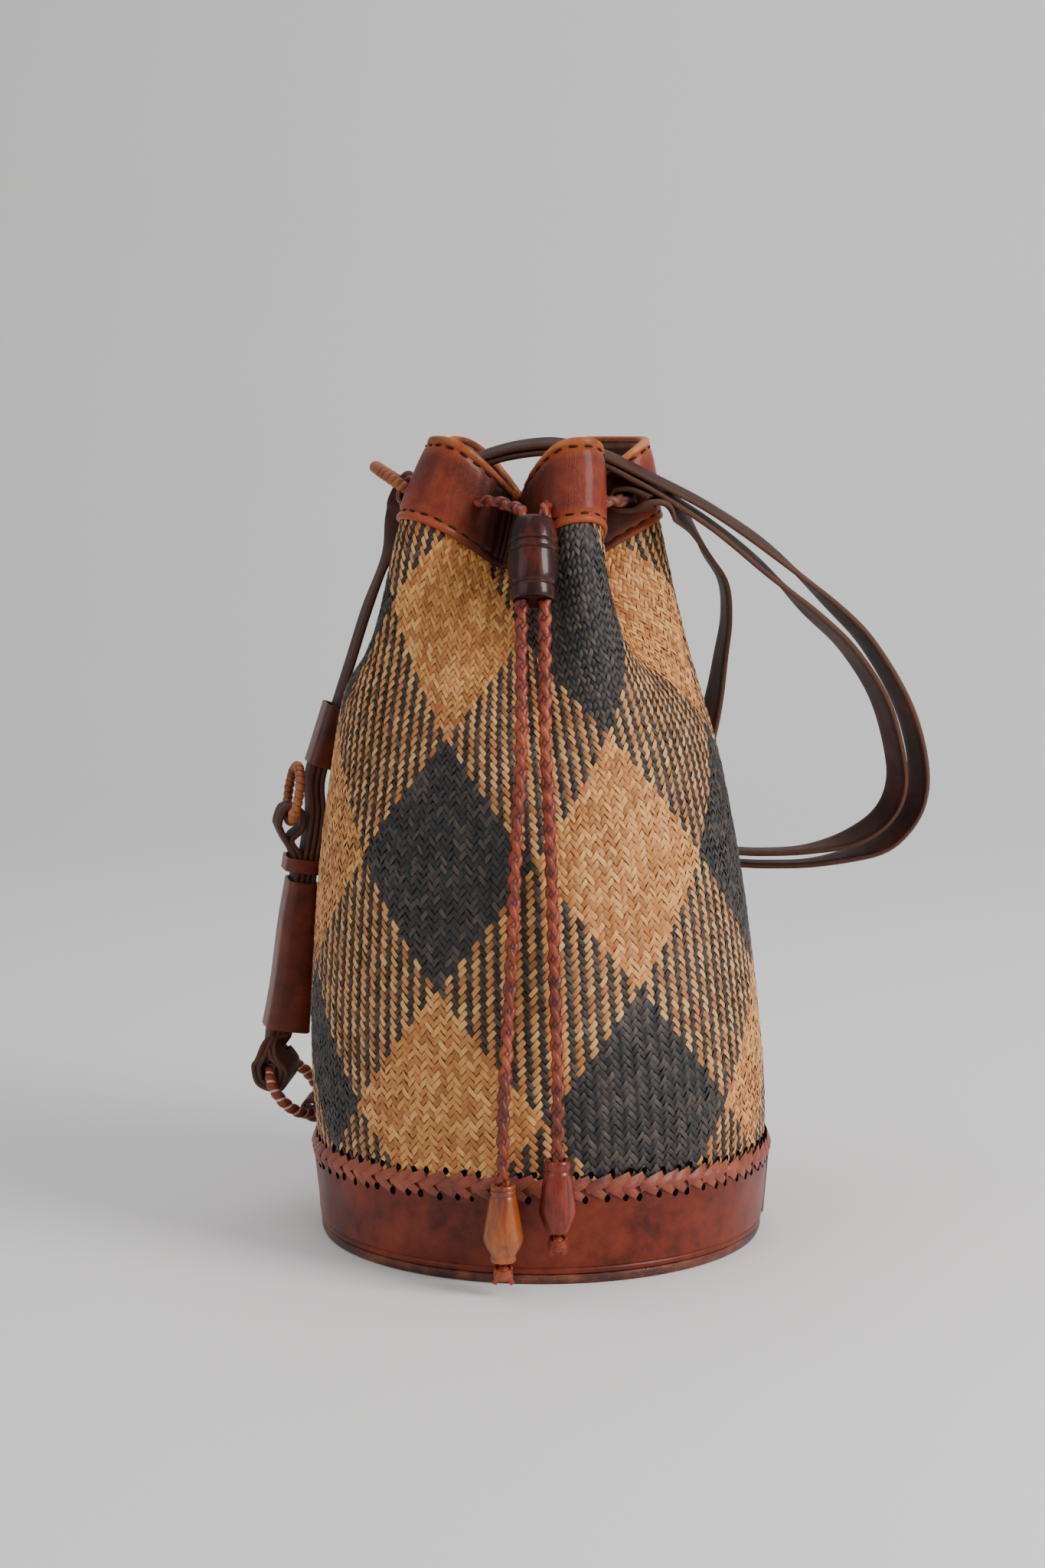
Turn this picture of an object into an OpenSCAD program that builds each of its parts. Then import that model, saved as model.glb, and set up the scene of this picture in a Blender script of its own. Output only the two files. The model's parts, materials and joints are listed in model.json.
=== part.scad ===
// Woven bucket bag with a gathered leather collar, a laced leather base and leather straps.
// Millimetres, +Z up. The origin is the middle of the sole, on the surface the bag stands on;
// the front, where the cord lock and its two tails hang, faces -Y.

/* [Body] */
// Radius of the sole
base_r = 92; // [91:0.5:93]
// Height of the leather base band, up to its laced edge
band_h = 39; // [36:1:42]
// Thickness of the woven wall
weave_t = 2.4; // [2:0.1:3]
// Thickness of the leather in the base band and collar
leather_t = 2; // [1.6:0.1:2.2]
// Height of the lower edge of the collar
collar_z0 = 302; // [298:1:306]
// Height of the collar's rim at its lobes
rim_z = 335; // [332:1:338]

/* [Drawstring] */
// Diameter of the braided drawstring
cord_d = 5.5; // [5:0.1:5.8]
// Length of the turned cord lock
lock_len = 34; // [30:1:36]
// Largest radius of the cord lock
lock_r = 10.2; // [10:0.1:10.6]
// Travel of the cord lock down the cords
lock_travel = 45; // [20:1:50]
// Travel of a bead up its tail
bead_travel = 12; // [5:1:14]

/* [Straps] */
// Width of the straps
strap_w = 14; // [12:0.5:15]
// Thickness of one strap
strap_t = 2.2; // [1.8:0.1:2.4]
// Radius to the middle of a wrapped ring's rim
ring_r = 13.5; // [13:0.5:14]
// Thickness of a wrapped ring
ring_t = 5.2; // [4.6:0.1:5.4]

/* [Hidden] */

cognac = "#8c4228";
dark_leather = "#3c261f";
cane = "#c4965f";

sole_t = 4;
welt_w = 2.6;
fit_gap = 0.3;

// Radius of the wall by height, before the mouth is gathered
profile = [[0, base_r], [37, 94.8], [62, 95.8], [92, 94.8], [124, 92.2], [158, 88.4],
    [191, 83], [227, 75.5], [260, 67], [290, 59], [302, 55.5], [335, 44.5], [345, 41]];
// Sideways lean of the wall's middle by height
lean = [[0, 0], [37, 0], [92, -2.6], [158, -5], [191, -6.5], [227, -8.5], [300, -9],
    [335, -4.5], [345, -3.5]];
// The four valleys of the gathered mouth: direction, depth as a share of the radius,
// half width in degrees at the rim, height at which the fold starts, roundness
valleys = [[172, 0.54, 19, 225, 3], [256, 0.56, 23, 165, 3], [333, 0.55, 16, 205, 2],
    [97, 0.58, 22, 165, 3]];
valley_drop = 42;

function smooth(x) = let (c = min(1, max(0, x))) c * c * (3 - 2 * c);
function slot_of(tab, x, i = 0) = i >= len(tab) - 2 || x < tab[i + 1][0] ? i : slot_of(tab, x, i + 1);
function slope(tab, i) = let (a = max(i - 1, 0), b = min(i + 1, len(tab) - 1))
    (tab[b][1] - tab[a][1]) / (tab[b][0] - tab[a][0]);
// A smooth curve through a table of [x, y]
function curve(tab, x) = let (i = slot_of(tab, x), w = tab[i + 1][0] - tab[i][0],
    t = (x - tab[i][0]) / w)
    (2 * pow(t, 3) - 3 * t * t + 1) * tab[i][1] + (pow(t, 3) - 2 * t * t + t) * w * slope(tab, i)
    + (3 * t * t - 2 * pow(t, 3)) * tab[i + 1][1] + (pow(t, 3) - t * t) * w * slope(tab, i + 1);
function turn_between(a, b) = let (d = (a - b) % 360) abs(d > 180 ? d - 360 : d < -180 ? d + 360 : d);
function sum(v, i = 0) = i >= len(v) ? 0 : v[i] + sum(v, i + 1);
// How far the gathering pulls the wall in, as a share of its radius
function gather(a, h) = let (wide = 1.7 - 0.7 * smooth((h - 190) / 145))
    sum([for (v = valleys) v[1] * smooth((h - v[3]) / (318 - v[3]))
        * exp(-pow(turn_between(a, v[0]) / (v[2] * wide), v[4]))]);
function lobes(a, h) = let (t = smooth((h - 150) / 185))
    1 + 0.05 * t * cos(a - 10) + 0.02 * t * cos(2 * (a - 20));
function wall_point(a, h) = let (g = gather(a, h), r = curve(profile, h) * lobes(a, h) * (1 - g))
    [curve(lean, h) + r * cos(a), r * sin(a), h - valley_drop * g * h / 335];
function unit(v) = v / norm(v);
// A point of the wall, moved out along the wall's own normal
function wall(a, h, out = 0) = wall_point(a, h) + out * unit(cross(
    wall_point(a + 0.5, h) - wall_point(a - 0.5, h), wall_point(a, h + 0.5) - wall_point(a, h - 0.5)));

// Joins closed rings of points into one solid; the last ring meets the first, or both are capped
module loft(rings, closed = false) {
    n = len(rings[0]);
    m = len(rings);
    points = [for (r = rings) for (p = r) p];
    sides = [for (k = [0:m - (closed ? 1 : 2)]) for (j = [0:n - 1])
        let (a = k * n + j, b = k * n + (j + 1) % n, c = ((k + 1) % m) * n + (j + 1) % n,
            d = ((k + 1) % m) * n + j) each [[a, c, b], [a, d, c]]];
    caps = closed ? [] : [for (j = [1:n - 2]) each [[0, j, j + 1],
        [(m - 1) * n, (m - 1) * n + j + 1, (m - 1) * n + j]]];
    polyhedron(points, concat(sides, caps), convexity = 10);
}

// A band of the gathered wall between two faces, each a list of [height, distance out]
module wall_band(outer, inner, step = 5) {
    section = concat(outer, [for (i = [len(inner) - 1:-1:0]) inner[i]]);
    loft([for (s = section) [for (a = [0:step:360 - step]) wall(a, s[0], s[1])]], closed = true);
}

function between(p, q, r, s, t) = 0.5 * (2 * q + (r - p) * t + (2 * p - 5 * q + 4 * r - s) * t * t
    + (3 * q - p - 3 * r + s) * pow(t, 3));
// A smooth route through points chosen by hand
function route(p, n) = [for (i = [0:len(p) - 2]) for (k = [0:n - 1])
    between(p[max(i - 1, 0)], p[i], p[i + 1], p[min(i + 2, len(p) - 1)], k / n), p[len(p) - 1]];
function place(p) = [p[0], p[1], p[2]];
function along(p, i) = unit(place(p[min(i + 1, len(p) - 1)]) - place(p[max(i - 1, 0)]));

// A round cord along a route
module cord(points, d, n = 3, sides = 8) {
    p = route(points, n);
    loft([for (i = [0:len(p) - 1]) let (t = along(p, i), u = unit(cross(t, abs(t[1]) > 0.9
        ? [1, 0, 0] : [0, 1, 0])), v = cross(t, u))
        [for (k = [0:sides - 1]) p[i] + d / 2 * (cos(360 * k / sides) * u + sin(360 * k / sides) * v)]]);
}

// A flat strap along a route whose points carry the direction of the strap's width
module strap(points, w = strap_w, t = strap_t, n = 3) {
    p = route(points, n);
    loft([for (i = [0:len(p) - 1]) let (a = along(p, i), raw = [p[i][3], p[i][4], p[i][5]],
        u = unit(raw - (raw * a) * a), v = cross(a, u))
        [place(p[i]) - w / 2 * u - t / 2 * v, place(p[i]) + w / 2 * u - t / 2 * v,
        place(p[i]) + w / 2 * u + t / 2 * v, place(p[i]) - w / 2 * u + t / 2 * v]]);
}
function at(p, w) = concat(p, w);

// The turned end of a strap round a ring's rim: q on the rim, rim its direction, up the way out,
// mid the ring's middle, side_turn which way the strap goes round
function eye(q, rim, up, mid, leg = 18, half = (ring_t + strap_t) / 2 + 1.5, pair = strap_t / 2 + 0.13,
    side_turn = 1) =
    let (u = unit(up - (up * rim) * rim), v = side_turn * cross(rim, u), inward = 1.2 * unit(mid - q))
    [for (e = [[leg, -pair, 0], [leg * 0.6, -half * 0.8, 1], [2, -half, 1], [-half * 0.75, -half * 0.75, 1],
        [-half, 0, 1], [-half * 0.75, half * 0.75, 1], [2, half, 1], [leg * 0.6, half * 0.8, 1],
        [leg, pair, 0]]) at(q + e[0] * u + e[1] * v + e[2] * inward, rim)];

// The cords below the collar, from hole to bead
lock_axis = unit([0, -0.39, -0.92]);
lock_mid = [-3.8, -60.2, 286.5];
bore_x = 4.7;
lock_top = lock_mid - lock_len / 2 * lock_axis;
bead_y = -108.5;
left_x = -15.6;
right_x = 5.8;
bead_len_l = 31;
bead_len_r = 29;
bead_z_l = 14;
bead_z_r = 26;
lock_end = lock_len + lock_travel + 2;
left_end = bead_z_l + bead_len_l + bead_travel + 11;
right_end = bead_z_r + bead_len_r + bead_travel + 3;
function lock_line(x, d) = lock_top + d * lock_axis + [x, 0, 0];
left_route = [[-26, -31, 309], [-19, -38, 309.5], [-12, -44, 307.5],
    lock_line(-bore_x, -4), lock_line(-bore_x, 3), lock_line(-bore_x, 26), lock_line(-bore_x, 48),
    lock_line(-bore_x, 70), lock_line(-bore_x, lock_end), lock_line(-bore_x, lock_end + 6),
    [-8.8, -89, 207], [-9.6, -92, 192], [-10.6, -93.5, 175], [-11.5, -95, 152],
    [-12.8, -97.5, 124], [-14, -101.5, 100], [-15.2, -106.5, 82], [left_x, bead_y, left_end],
    [left_x, bead_y, 50], [left_x, bead_y, 32], [left_x, bead_y, 13]];
right_route = [[1, -38, 309], [2, -42.5, 308.5], lock_line(bore_x, -4), lock_line(bore_x, 3),
    lock_line(bore_x, 26), lock_line(bore_x, 48), lock_line(bore_x, 70),
    lock_line(bore_x, lock_end), lock_line(bore_x, lock_end + 6),
    [1.4, -89, 207], [2.2, -92, 192], [3, -93.5, 175], [3.8, -95, 152],
    [4.6, -98.5, 126], [5.2, -104, 104], [right_x, bead_y, right_end + 16],
    [right_x, bead_y, right_end],
    [right_x, bead_y, 48], [right_x, bead_y, 25]];
// The drawstring's way round the mouth: inside each lobe, outside each valley
run_route = [[-26, -31, 309], [-31, -23, 309], [-35, -10, 308], [-38, 2, 306], [-36, 12, 308],
    [-31, 22, 309], [-20, 29, 308], [-10, 29, 305], [2, 27, 308], [12, 17, 309], [20, 5, 309],
    [30, -4, 310], [37, -12, 310], [34.4, -19, 309.6], [28, -25, 309.5], [19, -30, 309],
    [9, -34, 309], [1, -38, 309]];

module woven_body() {
    heights = [sole_t + 2.2, 38, 66, 96, 126, 152, 174, 192, 208, 222, 236, 250, 264, 280, 296, 306];
    color(cane) wall_band([for (h = heights) [h, 0]], [for (h = heights) [h, -weave_t]]);
}
module woven_floor() {
    color(cane) translate([0, 0, sole_t]) cylinder(r = base_r - weave_t - 0.4, h = 2.2, $fn = 96);
}
module base_sole() {
    color(cognac) cylinder(r = base_r - welt_w + 1, h = sole_t, $fn = 96);
}
module base_welt() {
    color(dark_leather) rotate_extrude($fn = 96) translate([base_r - welt_w + 1, 0])
        polygon([[0, 0], [welt_w - 0.6, 0], [welt_w, 0.8], [welt_w, 3.2], [welt_w - 0.6, sole_t],
            [0, sole_t]]);
}
function band_face(out) = [for (h = [sole_t:5:band_h]) [curve(profile, h) + out, h]];
module base_band() {
    color(cognac) rotate_extrude($fn = 96)
        polygon(concat(band_face(leather_t), [for (i = [len(band_face(0)) - 1:-1:0]) band_face(0.1)[i]]));
}
module band_lap() {
    color(cognac) rotate([0, 0, -6]) rotate_extrude(angle = 20, $fn = 96)
        polygon([[96.9, 6], [98.2, 6], [98.2, 29], [96.9, 29]]);
}
module base_lacing() {
    color(cognac) rotate_extrude($fn = 96) translate([97.2, 36]) scale([1, 2.6]) circle(r = 1.8, $fn = 16);
}
module collar() {
    heights = [collar_z0, 310, 318, 327, rim_z];
    color(cognac) wall_band([for (h = heights) [h, leather_t]], [for (h = heights) [h, 0.05]]);
}
module collar_lining() {
    color(dark_leather) wall_band([[307, 0], [316, 0], [325, 0], [rim_z - 1, 0]],
        [[307, -1.4], [316, -1.4], [325, -1.4], [rim_z - 1, -1.4]]);
}
// One stitch lying on the wall
module stitch(a, h, half, out) {
    b = wall(a - half, h, out);
    c = wall(a + half, h, out);
    up = unit(wall(a, h + 1, out) - wall(a, h, out)) * 0.45;
    face = unit(wall(a, h, out + 1) - wall(a, h, out)) * 0.7;
    loft([[b - up, b - up + face, b + up + face, b + up], [c - up, c - up + face, c + up + face, c + up]]);
}
module rim_stitching() {
    color(dark_leather) for (a = [0:6:354]) stitch(a, rim_z - 3.5, 1.9, leather_t);
}
module hem_stitching() {
    color(dark_leather) for (a = [0:5:355]) stitch(a, collar_z0 + 3.5, 1.6, leather_t);
}
module drawstring_run() { color(cognac) cord(run_route, cord_d, 3); }
module tail_left() { color(cognac) cord(left_route, cord_d, 3); }
module tail_right() { color(cognac) cord(right_route, cord_d, 3); }

module cord_lock() {
    color("#46231c") translate(lock_mid) rotate([180 - atan2(0.39, 0.92), 0, 0])
        translate([0, 0, -lock_len / 2]) difference() {
            rotate_extrude($fn = 64) polygon([[0, 0], [7.9, 0], [8.7, 2], [lock_r - 0.4, 6],
                [lock_r - 0.2, 9.5], [lock_r - 0.9, 10.3], [lock_r - 0.1, 11.1], [lock_r - 0.1, 13],
                [lock_r - 0.9, 13.8], [lock_r, 14.6], [lock_r, 20], [lock_r - 0.6, 26],
                [lock_r - 1.6, 28], [lock_r - 1.1, 29], [8.9, 33], [8.3, lock_len], [0, lock_len]]);
            for (x = [-bore_x, bore_x]) translate([x, 0, -1])
                cylinder(d = cord_d + 0.7, h = lock_len + 2, $fn = 32);
        }
}
module turned_bead(profile_points, tint) {
    color(tint) rotate_extrude($fn = 64) polygon(profile_points);
}
bead_bore = cord_d / 2 + fit_gap;
module bead_left() {
    translate([left_x, bead_y, bead_z_l]) turned_bead([[bead_bore, 0], [4.6, 0], [5.2, 1], [5, 3],
        [5.9, 4], [7.6, 7.5], [8, 9.5], [7.7, 12], [5.2, 26], [4.7, 27], [5, 28], [4.9, 30],
        [4.4, bead_len_l], [bead_bore, bead_len_l]], "#965a28");
}
module bead_right() {
    translate([right_x, bead_y, bead_z_r]) turned_bead([[bead_bore, 0], [4.2, 0], [4.8, 1],
        [6.9, 7], [7.3, 8.6], [7, 11], [5.5, 24], [5, 25], [5.3, 26], [5.2, 28],
        [4.6, bead_len_r], [bead_bore, bead_len_r]], "#7d3223");
}
module knot(x, z) {
    color(cognac) translate([x, bead_y, z]) rotate_extrude($fn = 32)
        polygon([[0, -4.5], [2.2, -4], [4, -1], [4, 1], [2.8, 3.4], [0, 3.4]]);
}
module knot_left() { knot(left_x, bead_z_l - 4.6); }
module knot_right() { knot(right_x, bead_z_r - 4.8); }

// A wrapped ring in the plane of two directions a and b
module wrapped_ring(c, a, b, r = ring_r, t = ring_t, tint = cognac) {
    n = cross(a, b);
    color(tint) multmatrix([[a[0], b[0], n[0], c[0]], [a[1], b[1], n[1], c[1]], [a[2], b[2], n[2], c[2]],
        [0, 0, 0, 1]]) rotate_extrude($fn = 64) translate([r, 0]) circle(d = t, $fn = 24);
}
// Ring places: middle, direction of the free end, the other direction of the ring's plane
tl_mid = [-58.5, 9, 315.5];
tl_a = unit([-0.83, 0.05, 0.55]);
tl_b = unit(cross([0.55, 0, 0.83], tl_a));
ll_mid = [-107.5, 26, 53];
ll_a = unit([-0.7, 0, 0.7]);
ll_b = unit([0.3, 0.9, 0.3]);
lb_mid = [29, 112.5, 50];
lb_a = [0, 0, 1];
lb_b = [0.966, -0.259, 0];
adj_r = 12;
adj_t = 4.4;
module ring_top_left() { wrapped_ring(tl_mid, tl_a, tl_b); }
module ring_lower_left() { wrapped_ring(ll_mid, ll_a, ll_b); }
module ring_lower_back() { wrapped_ring(lb_mid, lb_a, lb_b); }

// A folded leather tab that holds a ring to the wall: root on the wall, width direction, eye on the rim
module tab(q, rim, root, mid) {
    out = root - q;
    away = out - (out * rim) * rim;
    u = unit(away);
    v = cross(rim, u);
    leg = min(8, 0.62 * norm(away));
    half = ring_t / 2 + 2.1;
    inward = unit(mid - q);
    turn = [[leg, -1.1, 0], [leg * 0.5, -half * 0.8, 0.6], [-0.1 * half, -half, 1],
        [-0.78 * half, -0.7 * half, 1], [-half * 1.05, 0, 1], [-0.78 * half, 0.7 * half, 1],
        [-0.1 * half, half, 1], [leg * 0.5, half * 0.8, 0.6], [leg, 1.1, 0]];
    strap(concat([at(root - 1.1 * v, rim)], [for (e = turn) at(q + e[0] * u + e[1] * v + e[2] * inward, rim)],
        [at(root + 1.1 * v, rim)]), w = 9, t = 1.5, n = 3);
}
// Places round the top ring, by angle from its inner end: the tab in front, the long strap behind
function top_q(turn) = tl_mid + ring_r * (sin(turn) * tl_b - cos(turn) * tl_a);
function top_rim(turn) = sin(turn) * tl_a + cos(turn) * tl_b;
module tab_top_left() {
    color(cognac) tab(top_q(62), top_rim(62), [-54.6, -12.5, 301], tl_mid);
}
module tab_lower_left() {
    color(cognac) tab(ll_mid - ring_r * ll_a, ll_b, [-91.5, 25, 42], ll_mid);
}
module tab_lower_back() {
    color(cognac) tab(lb_mid - ring_r * lb_a, lb_b, [25, 96.5, 40], lb_mid);
}

// The left strap's own frame: out from the bag, across the strap, up the strap
sl_mid = [-109, 27, 112];
sl_up = unit([0.16, 0, 0.987]);
sl_across = unit([-0.25, 0.968, 0.04]);
sl_out = cross(sl_up, sl_across);
side = [-0.25, 0.968, 0];
layer = strap_t + 0.25;
sleeve_len = 66;
sleeve_wall = 1.5;
function sl(o, u) = at(sl_mid + o * sl_out + u * sl_up, sl_across);
// A box-shaped leather sleeve or keeper in a strap's frame
module sleeve(mid, out, across, up, depth, width, len) {
    color(cognac) multmatrix([[out[0], across[0], up[0], mid[0]], [out[1], across[1], up[1], mid[1]],
        [out[2], across[2], up[2], mid[2]], [0, 0, 0, 1]]) difference() {
            hull() for (x = [-1, 1], y = [-1, 1]) translate([x * (depth / 2 + sleeve_wall - 2),
                y * (width / 2 + sleeve_wall - 2), -len / 2]) cylinder(r = 2, h = len, $fn = 32);
            cube([depth, width, len + 2], center = true);
        }
}
low_q = ll_mid + ring_r * ll_a;
up_mid = [-93.5, 28.5, 208];
up_up = unit([6, 0.4, 19]);
up_out = unit(cross(up_up, side));
up_across = cross(up_out, up_up) * -1;
function us(o, u) = at(up_mid + o * up_out + u * up_up, side);
adj_mid = place(sl(9.5, 70));

// The long left strap: from the top ring down the side, round the lower ring and back up
module strap_left() {
    color(dark_leather) strap(concat(
        eye(top_q(-67), -top_rim(-67), [-0.25, 0.05, -0.96], tl_mid, 14),
        [at([-66.5, 28, 284], side), at([-75, 29, 262], side), at([-82, 28.5, 240], side),
        us(-0.5 * layer, 18), us(-0.5 * layer, -18), sl(-0.5 * layer, 62),
        sl(-0.5 * layer, 36), sl(-0.5 * layer, 0), sl(-0.5 * layer, -34)],
        eye(low_q, ll_b, sl_up, ll_mid, 9, side_turn = -1),
        [sl(0.5 * layer, -34), sl(0.5 * layer, 0), sl(0.5 * layer, 36), sl(0.5 * layer, 62),
        us(0.5 * layer, -18), us(0.5 * layer, 10)]), n = 2);
}
// The outer loop of the left strap: round the lower ring, through the keeper, bowed over the adjuster
module strap_loop_left() {
    color(dark_leather) strap(concat([us(-1.5 * layer, 10), us(-1.5 * layer, -18), sl(-1.5 * layer, 62),
        sl(-1.5 * layer, 36), sl(-1.5 * layer, 0), sl(-1.5 * layer, -34)],
        eye(low_q, ll_b, sl_up, ll_mid, 9, (ring_t + strap_t) / 2 + 1.5 + layer, 1.5 * layer, -1),
        [sl(1.5 * layer, -34), sl(1.5 * layer, 0), sl(1.5 * layer, 36), sl(1.5 * layer, 44)],
        eye(adj_mid - adj_r * sl_up, sl_across, -sl_up, adj_mid, 8),
        [sl(2.5 * layer, 44), sl(2.5 * layer, 37.5)]), n = 2);
}
module adjuster_ring() {
    wrapped_ring(adj_mid, sl_up, sl_across, adj_r, adj_t);
}
module sleeve_large() {
    sleeve(sl_mid, sl_out, sl_across, sl_up, 4 * layer + 0.8, strap_w + 0.8, sleeve_len);
}
module strap_keeper() {
    sleeve(place(sl(0.5 * layer, 40)), sl_out, sl_across, sl_up, 5 * layer + 0.8, strap_w + 0.8, 6);
}
module sleeve_upper() {
    sleeve(place(us(-0.5 * layer, 0)), up_out, up_across, up_up, 3 * layer + 0.5, strap_w + 0.8, 27);
}

// The doubled strap: from the top left ring over the mouth, out in a wide arc and in behind the bag
tilt = [0, 0.93, 0.36];
lean_in = [-0.5, 0.86, 0.1];
across_back = [-0.97, 0.26, 0];
pair_q = tl_mid - ring_r * tl_a;
back_q = lb_mid + ring_r * lb_a;
pair_inner = [[-37.5, 6, 321, tilt], [-29, 2, 323.6, tilt], [-13.5, -2, 328.2, tilt], [2, -8, 330.2, tilt],
    [13, -12, 329, tilt], [26, -16, 325, tilt], [37, -17, 319.5, tilt], [47, -16, 314, tilt],
    [70, -9, 299.5, tilt], [94.5, 6, 280, tilt], [115.5, 20, 261, lean_in], [134, 38, 243.5, lean_in],
    [150, 56, 220, lean_in], [159, 70, 193, lean_in], [160, 78, 176.5, lean_in], [154, 84, 163.5, lean_in],
    [141, 89, 154, lean_in], [121, 95, 148, [-0.2, 0.98, 0]], [101, 101, 146, [0, 1, 0]],
    [80, 106, 146, [0, 1, 0]], [60, 111, 142.5, [0, 1, 0]], [44, 113.5, 134, [0, 1, 0]],
    [34, 114, 119, [-0.3, 0.95, 0]], [30.5, 112.5, 102, [-0.8, 0.6, 0]], [29, 110.4, 88, across_back]];
pair_outer = [[-39, 4.6, 322.6, tilt], [-29, 1, 326.2, tilt], [-13.5, -2, 331, tilt], [2, -8, 333, tilt],
    [13, -12, 331.7, tilt], [26, -16, 328, tilt], [37, -17, 323, tilt], [47, -16, 318, tilt],
    [70, -9, 306, tilt], [98, 6, 287, tilt], [127, 26, 262, lean_in], [144, 42, 244, lean_in],
    [160.5, 60, 218, lean_in], [169, 72, 193, lean_in], [170, 80, 174.5, lean_in], [164, 86, 160, lean_in],
    [152, 91, 149.5, lean_in], [127, 97, 142, [-0.2, 0.98, 0]], [104, 103, 140, [0, 1, 0]],
    [82, 108, 140, [0, 1, 0]], [62, 113, 137, [0, 1, 0]], [48, 115.5, 130, [0, 1, 0]],
    [38, 116.5, 117, [-0.3, 0.95, 0]], [32.4, 116, 101, [-0.8, 0.6, 0]], [30.2, 115, 87, across_back]];
function legs(list) = [for (p = list) at([p[0], p[1], p[2]], p[3])];
module strap_pair_inner() {
    color(dark_leather) strap(concat(legs(pair_inner),
        eye(back_q, across_back, [0, 0, 1], lb_mid, 16)), n = 2);
}
module strap_pair_outer() {
    color(dark_leather) strap(concat(eye(pair_q, tl_b, [0.25, -0.2, 0.95], tl_mid, 10),
        legs(pair_outer)), n = 2);
}
// The single strap: looped over the drawstring at the right valley, then down behind the bag
run_q = [36, -15.5, 309.8];
run_dir = unit([0.39, 0.92, 0]);
single_route = [[53.5, -13, 307.5, [0.35, 0.9, 0.2]], [61.5, 3, 300.5, [0.1, 0.97, 0.2]],
    [71, 20, 285.5, [-0.2, 0.97, 0]],
    [78.4, 31, 273, [-0.3, 0.95, 0]], [80.5, 40, 258, [-0.4, 0.92, 0]], [79, 48, 241, [-0.5, 0.87, 0]],
    [75.5, 58, 215, [-0.6, 0.8, 0]], [68, 72, 187, [-0.75, 0.66, 0]], [57, 86, 158, [-0.85, 0.53, 0]],
    [44, 99, 128, [-0.93, 0.36, 0]], [33, 106.5, 104, across_back], [28.4, 107.6, 88, across_back],
    [28.2, 107.6, 80, across_back]];
module strap_single() {
    color(dark_leather) strap(concat(eye(run_q, run_dir, [1, 0.1, 0], [0, 0, 309.8], 11, half = 4.6),
        legs(single_route)), n = 2);
}
module sleeve_back() {
    sleeve([29.3, 111.3, 84], unit([0.26, 0.97, 0]), unit([-0.97, 0.26, 0]), [0, 0, 1],
        11.6, strap_w + 0.8, 12);
}

woven_body();
woven_floor();
base_sole();
base_welt();
base_band();
band_lap();
base_lacing();
collar();
collar_lining();
rim_stitching();
hem_stitching();
drawstring_run();
tail_left();
tail_right();
cord_lock();
bead_left();
bead_right();
knot_left();
knot_right();
ring_top_left();
ring_lower_left();
ring_lower_back();
adjuster_ring();
tab_top_left();
tab_lower_left();
tab_lower_back();
strap_left();
strap_loop_left();
sleeve_upper();
sleeve_large();
strap_keeper();
strap_pair_outer();
strap_pair_inner();
strap_single();
sleeve_back();
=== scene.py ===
import bpy, bmesh, json, math
import numpy as np
from mathutils import Vector, Matrix


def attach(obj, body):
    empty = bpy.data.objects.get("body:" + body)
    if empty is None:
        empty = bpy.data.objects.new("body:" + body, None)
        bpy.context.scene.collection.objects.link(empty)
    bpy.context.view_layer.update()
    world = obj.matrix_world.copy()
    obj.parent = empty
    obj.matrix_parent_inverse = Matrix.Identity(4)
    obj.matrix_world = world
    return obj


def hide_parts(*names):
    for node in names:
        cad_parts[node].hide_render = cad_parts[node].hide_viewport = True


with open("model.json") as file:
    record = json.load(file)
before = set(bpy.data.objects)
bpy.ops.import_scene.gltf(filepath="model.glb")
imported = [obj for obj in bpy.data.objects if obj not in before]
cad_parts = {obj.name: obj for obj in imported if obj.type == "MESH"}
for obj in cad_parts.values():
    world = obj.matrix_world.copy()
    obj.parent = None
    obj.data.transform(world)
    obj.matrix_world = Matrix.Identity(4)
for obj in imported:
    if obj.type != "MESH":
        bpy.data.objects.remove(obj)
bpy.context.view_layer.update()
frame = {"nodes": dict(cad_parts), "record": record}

# A woven cane bucket bag. Lengths below are millimetres until they reach a mesh.
MM = 0.001
scene = bpy.context.scene


def unit(v):
    v = np.asarray(v, float)
    return v / np.maximum(np.linalg.norm(v, axis=-1, keepdims=True), 1e-9)


def vec(*v):
    return np.array(v, float)


# ---------------------------------------------------------------- camera, light and floor
cam_data = bpy.data.cameras.new("camera")
cam_data.lens = 65.58
cam_data.sensor_width = 36
camera = bpy.data.objects.new("camera", cam_data)
camera.location = (-0.008, -1.2, 0.336)
camera.rotation_euler = (math.radians(90 - 6.95), 0, 0)
scene.collection.objects.link(camera)
scene.camera = camera


def area_light(name, place, aim, size, power, tint=(1, 1, 1)):
    data = bpy.data.lights.new(name, "AREA")
    data.shape = "RECTANGLE"
    data.size, data.size_y = size
    data.energy = power
    data.color = tint
    lamp = bpy.data.objects.new(name, data)
    lamp.location = place
    lamp.rotation_euler = (Vector(aim) - Vector(place)).to_track_quat("-Z", "Y").to_euler()
    scene.collection.objects.link(lamp)


area_light("key_softbox", (1.35, -0.75, 1.0), (0, 0, 0.2), (0.7, 1.0), 31, (1, 0.985, 0.96))
area_light("fill_softbox", (-1.5, -1.1, 0.9), (0, 0, 0.18), (1.4, 1.4), 7, (0.96, 0.98, 1))
area_light("top_softbox", (-0.2, 0.4, 1.9), (0, 0, 0.1), (1.6, 1.6), 12)
world = bpy.data.worlds.new("studio")
world.use_nodes = True
world.node_tree.nodes["Background"].inputs[0].default_value = (0.74, 0.74, 0.745, 1)
world.node_tree.nodes["Background"].inputs[1].default_value = 0.64
scene.world = world


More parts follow.
